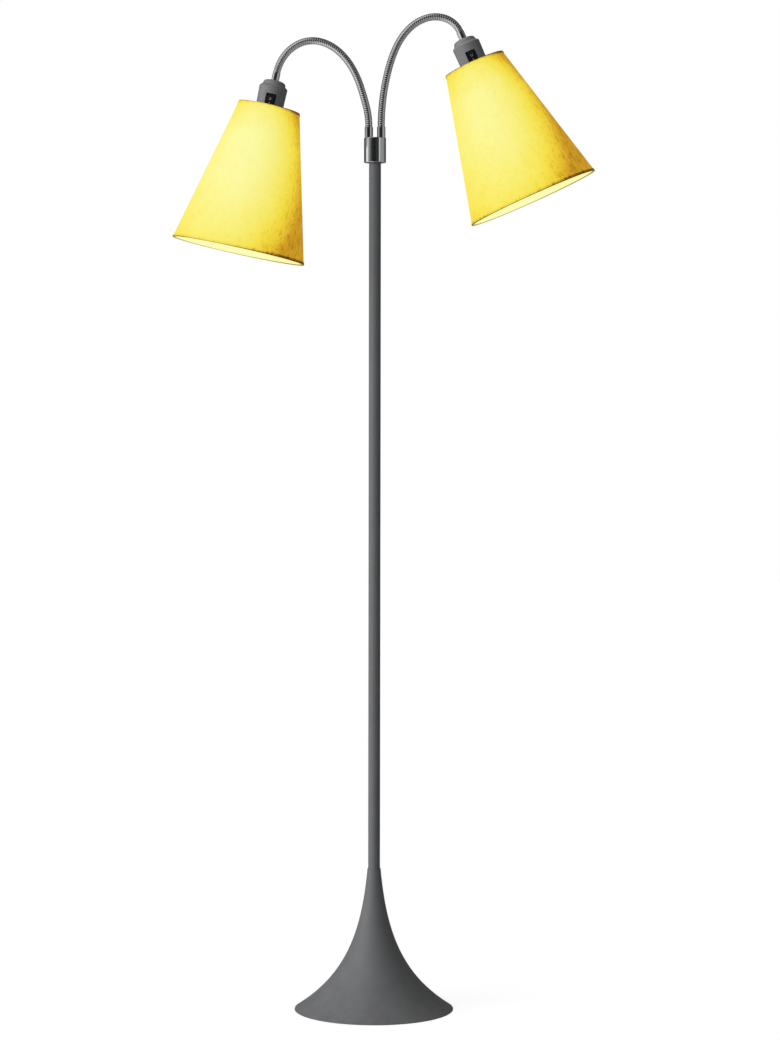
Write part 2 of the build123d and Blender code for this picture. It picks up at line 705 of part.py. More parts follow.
def bulb_glass():
    """Pear-shaped envelope: a flowing side and a round end."""
    inner_r = BULB_R - GLASS_WALL
    low = sqrt(0.5)
    outer_end = ThreePointArc(
        (BULB_R, BULB_Z), (BULB_R * low, BULB_Z - BULB_R * low), (0, BULB_Z - BULB_R)
    )
    inner_end = ThreePointArc(
        (inner_r, BULB_Z), (inner_r * low, BULB_Z - inner_r * low), (0, BULB_Z - inner_r)
    )
    return turned(
        Line((BULB_NECK_R - GLASS_WALL, SCREW_END_Z), (BULB_NECK_R, SCREW_END_Z)),
        glass_side(0),
        outer_end,
        Line((0, BULB_Z - BULB_R), (0, BULB_Z - inner_r)),
        inner_end,
        glass_side(GLASS_WALL),
    )


# ---- shade -----------------------------------------------------------------------------
def shade_radius(drop):
    """Outside radius of the cone at a distance below its top rim."""
    return SHADE_TOP_R + (SHADE_END_R - SHADE_TOP_R) * drop / SHADE_H


def cone_wall(offset, thickness, drop0, drop1):
    """Ring of conical wall: its outside stands offset outside the paper's outside."""
    points = []
    for drop, shift in ((drop0, 0), (drop1, 0), (drop1, -thickness), (drop0, -thickness)):
        points.append((shade_radius(drop) + offset + shift, SHADE_Z - drop))
    return turned_points(*points)


def shade_shell():
    """Paper cone, open at both ends."""
    return cone_wall(0, PAPER_T, 0, SHADE_H)


def shade_bands():
    """Folded strips of the same paper round both rims."""
    top = cone_wall(SEAT + BAND_T, BAND_T, 0, BAND_H)
    foot = cone_wall(SEAT + BAND_T, BAND_T, SHADE_H - BAND_H, SHADE_H)
    return group(top, foot)


def rim_wire(drop):
    """Round wire inside the paper at a distance below the top rim."""
    return Pos(0, 0, SHADE_Z - drop) * Torus(wire_circle_radius(drop), WIRE_R)


def wire_circle_radius(drop):
    """Radius of the circle that a wire follows when it rests against the paper's inside."""
    lean = atan((SHADE_END_R - SHADE_TOP_R) / SHADE_H)
    return shade_radius(drop) - PAPER_T - (WIRE_R + SEAT) / cos(lean)


def shade_spider():
    """Washer for the holder, three arms and the top rim wire, welded into one."""
    washer = tube(THREAD_R + SEAT, SPIDER_RING_R, SPIDER_Z, SPIDER_Z + SPIDER_RING_T)
    drop = 2 * WIRE_R
    frame = washer + rim_wire(drop)
    inner = (SPIDER_RING_R - WIRE_R, SPIDER_Z + WIRE_R + SEAT)
    outer = (wire_circle_radius(drop), SHADE_Z - drop)
    reach = (outer[0] - inner[0], outer[1] - inner[1])
    start = Plane((inner[0], 0, inner[1]), z_dir=(reach[0], 0, reach[1]))
    length = sqrt(reach[0] ** 2 + reach[1] ** 2)
    for i in range(SPIDER_ARMS):
        arm = start * rod(WIRE_R, 0, length)
        frame += Rot(0, 0, SPIDER_START + i * 360 / SPIDER_ARMS) * arm
    return frame


def shade_foot_wire():
    """Wire ring that keeps the shade's lower rim round."""
    return rim_wire(SHADE_H - 2 * WIRE_R)


# ---- assembly --------------------------------------------------------------------------
def head_parts():
    """Every piece of one head on the holder's own axis."""
    return {
        "upper_ferrule": upper_ferrule(),
        "cap_nut": cap_nut(),
        "holder_cap": holder_cap(),
        "switch_housing": switch_housing(),
        "rocker": rocker(),
        "holder_skirt": holder_skirt(),
        "socket_insert": socket_insert(),
        "socket_contacts": socket_contacts(),
        "ring_nut": ring_nut(),
        "bulb_cap": bulb_cap(),
        "bulb_glass": bulb_glass(),
        "shade_spider": shade_spider(),
        "shade_shell": shade_shell(),
        "shade_bands": shade_bands(),
        "shade_foot_wire": shade_foot_wire(),
    }


def head_place(side):
    """Where a head's axis starts: past the hose's end by the ferrule's free length."""
    x, z, _ = arm_runs(side)[-1].at(LINK_L + TIP_OUT)
    tilt = LEFT_TILT if side < 0 else -RIGHT_TILT
    return Location((x, 0, z), (0, tilt, 0))


def stand_parts():
    """Every piece that stays put, by node name."""
    return {
        "base_shell": base_shell(),
        "base_weight": base_weight(),
        "base_plate": base_plate(),
        "felt_pad": felt_pad(),
        "cord_grommet": cord_grommet(),
        "terminal_block": terminal_block(),
        "pole_bolt": pole_bolt(),
        "pole_washer": pole_washer(),
        "pole_plug": pole_plug(),
        "pole": pole(),
        "coupler": coupler(),
        "grub_screws": grub_screws(),
        "lower_ferrules": lower_ferrules(),
        "pole_leads": pole_leads(),
    }


def all_parts():
    """Every piece of the lamp in its resting place, by node name."""
    parts = stand_parts()
    head = head_parts()
    for name, side in (("left", -1), ("right", 1)):
        runs = arm_runs(side)
        for i, run in enumerate(runs):
            link = hose_link(run, first=i == 0, last=i == len(runs) - 1)
            parts[f"hose_{name}_{i + 1}"] = link
        place = head_place(side)
        for node, shape in head.items():
            parts[f"{node}_{name}"] = place * shape
    return parts


for node, shape in all_parts().items():
    export_step(shape, f"parts/{node}.step")
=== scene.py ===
"""Dressed model of a grey floor lamp: a trumpet foot, a pole, and two chromed goosenecks that
each carry a switched lampholder, a bulb and a lit cone of yellow paper.

Sizes are millimetres in each class's fields, and every mesh is written in metres, in the frame
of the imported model: the origin is on the floor under the pole, +Z is up and the front is -Y.
A lamp head is drawn on its own axis, with zero at the top of its cap and +Z towards the hose.
"""
import logging
import math
from collections.abc import Callable, Sequence
from dataclasses import dataclass, field, replace
from enum import Enum

import bpy
import numpy as np
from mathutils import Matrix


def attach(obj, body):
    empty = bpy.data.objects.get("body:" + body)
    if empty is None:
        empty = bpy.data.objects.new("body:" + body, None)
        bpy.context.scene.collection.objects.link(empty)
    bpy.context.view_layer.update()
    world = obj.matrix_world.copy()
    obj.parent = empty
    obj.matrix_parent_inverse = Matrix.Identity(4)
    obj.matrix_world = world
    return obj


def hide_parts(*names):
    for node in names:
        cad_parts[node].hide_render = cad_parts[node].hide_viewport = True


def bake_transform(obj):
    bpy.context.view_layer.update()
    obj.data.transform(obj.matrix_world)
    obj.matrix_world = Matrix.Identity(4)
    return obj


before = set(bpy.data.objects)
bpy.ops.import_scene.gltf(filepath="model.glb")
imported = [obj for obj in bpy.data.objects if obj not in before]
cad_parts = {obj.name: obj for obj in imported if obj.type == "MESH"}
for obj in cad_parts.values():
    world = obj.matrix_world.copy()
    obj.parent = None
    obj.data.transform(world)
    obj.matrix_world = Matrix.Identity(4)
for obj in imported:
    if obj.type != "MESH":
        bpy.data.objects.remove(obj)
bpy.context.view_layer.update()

log = logging.getLogger("lamp")

MM = 0.001
FULL_TURN = 2.0 * math.pi
UP = np.array([0.0, 0.0, 1.0])
CREASE = 32.0  # degrees above which an edge stays sharp
AXIS_R = 0.5  # radius where the profile of a solid disc starts, closed by a fan
PLAY = 0.05  # radial room of a part in its bore
LINKS = 8
SWITCH_Y = 19.4  # depth of the switch's flat in front of the head's axis
SWITCH_Z = -32.5


# ---- surfaces ------------------------------------------------------------------------------
class Ends(Enum):
    """How the first and last rows of a grid are finished."""

    JOINED = "the last row meets the first again"
    CLOSED = "each end row is drawn to one point"


@dataclass
class Skin:
    """A closed surface in millimetres, with what its corners, faces and points carry."""

    points: np.ndarray
    corners: np.ndarray
    starts: np.ndarray
    uv: np.ndarray
    finish: np.ndarray
    marks: dict[str, np.ndarray] = field(default_factory=dict)

    def sizes(self) -> np.ndarray:
        """Number of corners of each face."""
        return np.diff(np.append(self.starts, len(self.corners)))

    def volume(self) -> float:
        """Signed volume: a sixth of the triple products of each edge with its face's first point.

        Returns:
            The volume in cubic millimetres, positive where the faces look outwards.
        """
        sizes = self.sizes()
        face_end = np.repeat(self.starts + sizes - 1, sizes)
        here = np.arange(len(self.corners))
        after = np.where(here == face_end, np.repeat(self.starts, sizes), here + 1)
        first = self.points[np.repeat(self.corners[self.starts], sizes)]
        a, b = self.points[self.corners], self.points[self.corners[after]]
        return float(np.einsum("ij,ij->", first, np.cross(a, b)) / 6.0)

    def outward(self) -> "Skin":
        """Turn every face over where the volume is negative.

        Returns:
            The same skin with its faces pointing outwards.
        """
        if self.volume() >= 0.0:
            return self
        sizes = self.sizes()
        turned_over = np.repeat(2 * self.starts + sizes - 1, sizes) - np.arange(len(self.corners))
        return replace(self, corners=self.corners[turned_over], uv=self.uv[turned_over])

    def moved(self, points: np.ndarray) -> "Skin":
        """The same skin with its points elsewhere."""
        return replace(self, points=points)


def woven(grid: np.ndarray, ends: Ends, uv: np.ndarray | None = None,
          finish: np.ndarray | int = 0, marks: dict[str, np.ndarray] | None = None,
          tips: np.ndarray | None = None) -> Skin:
    """Skin over a grid of points whose columns close on themselves.

    Args:
        grid: Points, rows by columns by three.
        ends: What happens to the first and last rows.
        uv: Texture coordinates with one more column than the grid, and one more row if joined.
        finish: Material number of every face, or of each band between two rows.
        marks: Values of each point by name, rows by columns.
        tips: The two points that closed ends are drawn to, or their rows' middles if left out.

    Returns:
        A closed skin whose faces look outwards.
    """
    rows, cols, _ = grid.shape
    bands = rows if ends is Ends.JOINED else rows - 1
    i, j = np.meshgrid(np.arange(bands), np.arange(cols), indexing="ij")
    i2, j2 = (i + 1) % rows, (j + 1) % cols
    quads = np.stack([i * cols + j, i * cols + j2, i2 * cols + j2, i2 * cols + j], -1)
    quads = quads.reshape(-1, 4)
    if uv is None:
        u = np.linspace(0.0, 1.0, cols + 1)
        v = np.linspace(0.0, 1.0, bands + 1)
        uv = np.stack(np.broadcast_arrays(u[None, :], v[:, None]), -1)
    quad_uv = np.stack([uv[i, j], uv[i, j + 1], uv[i + 1, j + 1], uv[i + 1, j]], -2)
    points = grid.reshape(-1, 3)
    corners = [quads.ravel()]
    corner_uv = [quad_uv.reshape(-1, 2)]
    starts = [np.arange(len(quads)) * 4]
    band_finish = np.broadcast_to(np.asarray(finish), (bands,))
    faces = [np.repeat(band_finish, cols)]
    values = {name: mark.ravel() for name, mark in (marks or {}).items()}
    if ends is Ends.CLOSED:
        if tips is None:
            tips = np.stack([grid[0].mean(0), grid[-1].mean(0)])
        points = np.vstack([points, tips])
        k = np.arange(cols)
        k2 = (k + 1) % cols
        for tip, row, order in ((0, 0, (0, 2, 1)), (1, rows - 1, (0, 1, 2))):
            fan = np.stack([np.full(cols, rows * cols + tip), row * cols + k, row * cols + k2], -1)
            rim = np.stack([uv[row, k], uv[row, k + 1]], 1)
            fan_uv = np.stack([rim.mean(1), rim[:, 0], rim[:, 1]], 1)
            corners.append(fan[:, order].ravel())
            corner_uv.append(fan_uv[:, order].reshape(-1, 2))
            faces.append(np.full(cols, band_finish[0 if tip == 0 else -1]))
            starts.append(len(quads) * 4 + (tip * cols + k) * 3)
        values = {name: np.append(mark, [mark[:cols].mean(), mark[-cols:].mean()])
                  for name, mark in values.items()}
    return Skin(points, np.concatenate(corners), np.concatenate(starts),
                np.concatenate(corner_uv), np.concatenate(faces), values).outward()


def gathered(*skins: Skin) -> Skin:
    """Several skins as one, each kept closed in itself.

    Args:
        skins: Skins that carry the same marks.

    Returns:
        One skin with the points of all.
    """
    point_shift = np.cumsum([0] + [len(s.points) for s in skins])
    corner_shift = np.cumsum([0] + [len(s.corners) for s in skins])
    return Skin(
        np.vstack([s.points for s in skins]),
        np.concatenate([s.corners + n for s, n in zip(skins, point_shift)]),
        np.concatenate([s.starts + n for s, n in zip(skins, corner_shift)]),
        np.vstack([s.uv for s in skins]),
        np.concatenate([s.finish for s in skins]),
        {name: np.concatenate([s.marks[name] for s in skins]) for name in skins[0].marks},
    )


def softened(points: np.ndarray, cuts: list[float], closed: bool, steps: int = 4) -> np.ndarray:
    """Outline with rounded corners.

    Each corner is cut back along its two runs by its own length, and replaced by the curve
    (1-t)^2 A + 2t(1-t) P + t^2 B between the cut points A and B, so a run stays straight
    between its corners. One more point beside each end of the curve keeps the runs flat.

    Args:
        points: Corners of the outline, two numbers each.
        cuts: Cut length at each corner, held below half of the shorter run beside it.
        closed: Whether the last corner runs on to the first.
        steps: Steps of each curve.

    Returns:
        The outline's points, with none repeated.
    """
    most, beside, same = 0.45, 0.12, 1e-6
    p = np.asarray(points, float)
    before, after = np.roll(p, 1, 0) - p, np.roll(p, -1, 0) - p
    low, high = np.linalg.norm(before, axis=1), np.linalg.norm(after, axis=1)
    cut = np.minimum(np.asarray(cuts, float), most * np.minimum(low, high))
    if not closed:
        cut[[0, -1]] = 0.0
    a = p + before / low[:, None] * cut[:, None]
    b = p + after / high[:, None] * cut[:, None]
    a_out, b_out = a + (a - p) * beside, b + (b - p) * beside
    t = np.linspace(0.0, 1.0, steps + 1)[None, :, None]
    curve = (1 - t) ** 2 * a[:, None] + 2 * t * (1 - t) * p[:, None] + t**2 * b[:, None]
    line = np.concatenate([a_out[:, None], curve, b_out[:, None]], 1).reshape(-1, 2)
    apart = np.linalg.norm(line - np.roll(line, 1, 0), axis=1) > same
    if not closed:
        apart[0] = True
    return line[apart]


@dataclass(frozen=True)
class Place:
    """Where a sub-assembly's own axes lie: a shift in the XZ plane and a tilt about Y."""

    x: float = 0.0
    z: float = 0.0
    tilt: float = 0.0

    def set_in(self, local: np.ndarray) -> np.ndarray:
        """Local points turned about Y by the tilt in degrees, then shifted."""
        c, s = math.cos(math.radians(self.tilt)), math.sin(math.radians(self.tilt))
        turn = np.array([[c, 0.0, s], [0.0, 1.0, 0.0], [-s, 0.0, c]])
        return local @ turn.T + np.array([self.x, 0.0, self.z])

    def placed(self, skin: Skin) -> Skin:
        """The skin with its points set in this place."""
        return skin.moved(self.set_in(skin.points))


def angles(columns: int) -> np.ndarray:
    """Angles in radians of columns spread evenly round a full turn."""
    return np.arange(columns) * FULL_TURN / columns


def turned(radius: np.ndarray, height: np.ndarray, angle: np.ndarray) -> np.ndarray:
    """Grid of the points (r cos a, r sin a, z) for each row's r and z and each column's a."""
    return np.stack(np.broadcast_arrays(radius * np.cos(angle), radius * np.sin(angle), height),
                    -1)


def flowing(start: Sequence[float], end: Sequence[float], leaving: Sequence[float],
            arriving: Sequence[float], steps: int) -> np.ndarray:
    """Curve between two points that leaves the first and reaches the last in given directions.

    It is the cubic (2t^3 - 3t^2 + 1) A + (t^3 - 2t^2 + t) U + (3t^2 - 2t^3) B + (t^3 - t^2) V.

    Args:
        start: Point A, a radius and a height.
        end: Point B.
        leaving: Pull U at the start.
        arriving: Pull V at the end.
        steps: Points of the curve.

    Returns:
        The curve's points.
    """
    t = np.linspace(0.0, 1.0, steps)[:, None]
    return ((2 * t**3 - 3 * t**2 + 1) * start + (t**3 - 2 * t**2 + t) * leaving
            + (3 * t**2 - 2 * t**3) * end + (t**3 - t**2) * arriving)


def lathe(profile: np.ndarray, ends: Ends, columns: int = 96) -> Skin:
    """Surface of revolution about Z.

    The texture runs once round, and in metres along the profile.

    Args:
        profile: Radius and height of each row.
        ends: Whether the profile closes on itself or ends on the axis.
        columns: Columns round the axis.

    Returns:
        The closed skin.
    """
    grid = turned(profile[:, 0, None], profile[:, 1, None], angles(columns))
    around = profile if ends is Ends.CLOSED else np.vstack([profile, profile[:1]])
    length = np.append(0.0, np.cumsum(np.linalg.norm(np.diff(around, axis=0), axis=1))) * MM
    turn = np.linspace(0.0, 1.0, columns + 1)
    uv = np.stack(np.broadcast_arrays(turn[None, :], length[:, None]), -1)
    return woven(grid, ends, uv)


def threaded(radius: np.ndarray, depth: np.ndarray, height: np.ndarray, pitch: float,
             sharpness: float, ends: Ends, columns: int) -> Skin:
    """Closed turned skin with a screw thread cut into some of its rows.

    The radius loses the row's depth times a power of (1 - cos)/2 of a phase that runs once
    round for each pitch of height.

    Args:
        radius: Radius of each row.
        depth: Thread depth of each row.
        height: Height of each row.
        pitch: Height of one turn.
        sharpness: The power.
        ends: Whether the rows close on themselves or end on the axis.
        columns: Columns round the axis.

    Returns:
        The closed skin, with how deep each point lies in the thread.
    """
    angle = angles(columns)
    groove = (0.5 - 0.5 * np.cos(FULL_TURN * height[:, None] / pitch - angle)) ** sharpness
    grid = turned(radius[:, None] - depth[:, None] * groove, height[:, None], angle)
    return woven(grid, ends, marks={"groove": groove * np.sign(depth)[:, None]})


def lofted(loops: list[np.ndarray]) -> Skin:
    """Closed skin through loops of equally many points, from the first to the last."""
    return woven(np.stack(loops), Ends.CLOSED)


def bar(start: np.ndarray, end: np.ndarray, radius: float, columns: int = 20) -> Skin:
    """Straight round bar: circles of two directions that stand square to its run."""
    run = end - start
    along = run / np.linalg.norm(run)
    side = np.cross(along, [0.0, 1.0, 0.0])
    if np.linalg.norm(side) < 1e-3:
        side = np.cross(along, [1.0, 0.0, 0.0])
    side = side / np.linalg.norm(side)
    angle = angles(columns)[:, None]
    circle = radius * (np.cos(angle) * side + np.sin(angle) * np.cross(along, side))
    return lofted([start + circle, (start + end) / 2 + circle, end + circle])


def box_loop(width: float, height: float, corner: float, steps: int = 6) -> np.ndarray:
    """Rounded rectangle about the origin, counterclockwise.

    Args:
        width: Size along the first axis.
        height: Size along the second axis.
        corner: Radius of the corners.
        steps: Points of each corner.

    Returns:
        Points, two numbers each: each corner's centre plus its radius along the arc.
    """
    quarter = np.linspace(0.0, math.pi / 2, steps)
    angle = (np.arange(4)[:, None] * math.pi / 2 + quarter).ravel()
    signs = np.repeat(np.array([[1, 1], [-1, 1], [-1, -1], [1, -1]]), steps, axis=0)
    centres = signs * np.array([width / 2 - corner, height / 2 - corner])
    return centres + corner * np.stack([np.cos(angle), np.sin(angle)], -1)


def facing(loop: np.ndarray, y: float, z: float = 0.0) -> np.ndarray:
    """A flat loop stood upright across Y, at a depth y and about a height z."""
    return np.stack([loop[:, 0], np.full(len(loop), y), loop[:, 1] + z], -1)


def tunnel(loop: np.ndarray, near: float, far: float, z: float = 0.0) -> Skin:
    """Solid of a loop carried along Y from a near to a far depth, about a height z."""
    return lofted([facing(loop, near, z), facing(loop, far, z)])


def mesh_piece(name: str, skin: Skin, finishes: Sequence["Finish"]) -> bpy.types.Object:
    """Object with a skin's mesh, in metres, at the origin.

    Args:
        name: Name of the object and of its mesh.
        skin: Closed surface in millimetres.
        finishes: Finishes in the order of the skin's finish numbers.

    Returns:
        The linked object.
    """
    mesh = bpy.data.meshes.new(name)
    mesh.vertices.add(len(skin.points))
    mesh.vertices.foreach_set("co", (skin.points * MM).astype(np.float32).ravel())
    mesh.loops.add(len(skin.corners))
    mesh.loops.foreach_set("vertex_index", skin.corners.astype(np.int32))
    mesh.polygons.add(len(skin.starts))
    mesh.polygons.foreach_set("loop_start", skin.starts.astype(np.int32))
    mesh.polygons.foreach_set("material_index", skin.finish.astype(np.int32))
    mesh.uv_layers.new(name="UVMap").data.foreach_set("uv", skin.uv.astype(np.float32).ravel())
    for mark, values in skin.marks.items():
        layer = mesh.attributes.new(mark, "FLOAT", "POINT")
        layer.data.foreach_set("value", values.astype(np.float32))
    mesh.update(calc_edges=True)
    for finish in finishes:
        mesh.materials.append(finish.material())
    mesh.shade_smooth()
    mesh.set_sharp_from_angle(angle=math.radians(CREASE))
    piece = bpy.data.objects.new(name, mesh)
    bpy.context.scene.collection.objects.link(piece)
    log.info("%s: %d points, %d faces", name, len(skin.points), len(skin.starts))
    return piece


def cut_away(piece: bpy.types.Object, cutters: Sequence[Skin]) -> None:
    """Take closed skins away from a piece with Boolean modifiers, and keep the result.

    Args:
        piece: Object whose mesh is cut.
        cutters: Skins in millimetres.
    """
    tools = [mesh_piece(f"cutter_{i}", skin, []) for i, skin in enumerate(cutters)]
    for tool in tools:
        cut = piece.modifiers.new(tool.name, "BOOLEAN")
        cut.operation, cut.solver, cut.object = "DIFFERENCE", "EXACT", tool
    view = bpy.context.evaluated_depsgraph_get()
    old = piece.data
    mesh = bpy.data.meshes.new_from_object(piece.evaluated_get(view))
    piece.modifiers.clear()
    piece.data = mesh
    bpy.data.meshes.remove(old)
    mesh.name = piece.name
    mesh.set_sharp_from_angle(angle=math.radians(CREASE))
    for tool in tools:
        bpy.data.meshes.remove(tool.data)


# ---- materials -----------------------------------------------------------------------------
Colour = tuple[float, float, float]
Linear = tuple[float, float, float, float]
Tones = tuple[tuple[float, ...], ...]
Socket = bpy.types.NodeSocket
Feed = Socket | float | tuple


def linear(red: float, green: float, blue: float) -> Linear:
    """Colour of a screen's 0-255 numbers as the linear colour that a shader takes.

    Args:
        red: Red, 0-255.
        green: Green, 0-255.
        blue: Blue, 0-255.

    Returns:
        Linear red, green and blue, and an alpha of one.
    """
    def channel(value: float) -> float:
        """One channel by the sRGB curve."""
        v = value / 255.0
        return v / 12.92 if v <= 0.04045 else ((v + 0.055) / 1.055) ** 2.4

    return channel(red), channel(green), channel(blue), 1.0


def grey(tone: float) -> Linear:
    """Neutral linear colour of a tone."""
    return tone, tone, tone, 1.0


def scaled(colour: Colour, share: float) -> Linear:
    """Linear colour of a screen's 0-255 numbers, each multiplied by a share."""
    return linear(*(share * channel for channel in colour))


WHITE = grey(1.0)


class Sheet:
    """A node tree that is filled with short calls."""

    def __init__(self, tree: bpy.types.NodeTree) -> None:
        """Start on a tree."""
        self.tree = tree

    def add(self, kind: str, feeds: dict[str | int, Feed] | None = None,
            **settings: object) -> bpy.types.Node:
        """Add a node.

        Args:
            kind: Node type without its "ShaderNode" prefix, or a whole "Node..." type.
            feeds: Socket to link or value to set, by input name or number.
            settings: Properties of the node.

        Returns:
            The node.
        """
        node = self.tree.nodes.new(kind if kind.startswith("Node") else "ShaderNode" + kind)
        for name, value in settings.items():
            setattr(node, name, value)
        return self.feed(node, feeds or {})

    def feed(self, node: bpy.types.Node, feeds: dict[str | int, Feed]) -> bpy.types.Node:
        """Link sockets to a node's inputs, or set plain values on them.

        Args:
            node: Node of this tree.
            feeds: Socket to link or value to set, by input name or number.

        Returns:
            The same node.
        """
        for key, value in feeds.items():
            if isinstance(value, Socket):
                self.tree.links.new(value, node.inputs[key])
            else:
                node.inputs[key].default_value = value
        return node

    def sum(self, operation: str, *values: Feed) -> Socket:
        """Result of a Math node on one, two or three values."""
        return self.add("Math", dict(enumerate(values)), operation=operation).outputs[0]

    def remap(self, value: Feed, low: float, high: float, to_low: Feed = 0.0,
              to_high: Feed = 1.0) -> Socket:
        """A value's range from low to high, carried smoothly to another range and held there."""
        feeds = {"Value": value, 1: low, 2: high, 3: to_low, 4: to_high}
        return self.add("MapRange", feeds, interpolation_type="SMOOTHSTEP").outputs[0]

    def blend(self, share: Feed, a: Feed, b: Feed) -> Socket:
        """Colour a turned into b by a share."""
        return self.add("Mix", {0: share, 6: a, 7: b}, data_type="RGBA").outputs[2]

    def attribute(self, name: str) -> Socket:
        """Value that each point of the piece carries under a name."""
        return self.add("Attribute", attribute_name=name).outputs["Fac"]

    def ramp(self, value: Socket, stops: Sequence[tuple[float, Linear]]) -> Socket:
        """Colour ramp over a value, from places in rising order, the first 0 and the last 1.

        Args:
            value: Socket that the ramp is read at.
            stops: Place and linear colour of each stop.

        Returns:
            The colour.
        """
        node = self.add("ValToRGB", {0: value})
        elements = node.color_ramp.elements
        for place, colour in stops[1:-1]:
            elements.new(place).color = colour
        elements[0].color, elements[-1].color = stops[0][1], stops[-1][1]
        return node.outputs[0]

    def place(self, kind: str = "Object", scale: tuple | None = None) -> Socket:
        """Object coordinates or the UV map, stretched by a Mapping node if a scale is given."""
        spot = self.add("TexCoord").outputs[kind]
        if scale is None:
            return spot
        return self.add("Mapping", {"Vector": spot, "Scale": scale}).outputs[0]

    def use(self, group: bpy.types.NodeTree, feeds: dict[str, Feed]) -> bpy.types.Node:
        """Place a node group with its own values."""
        return self.add("Group", feeds, node_tree=group)


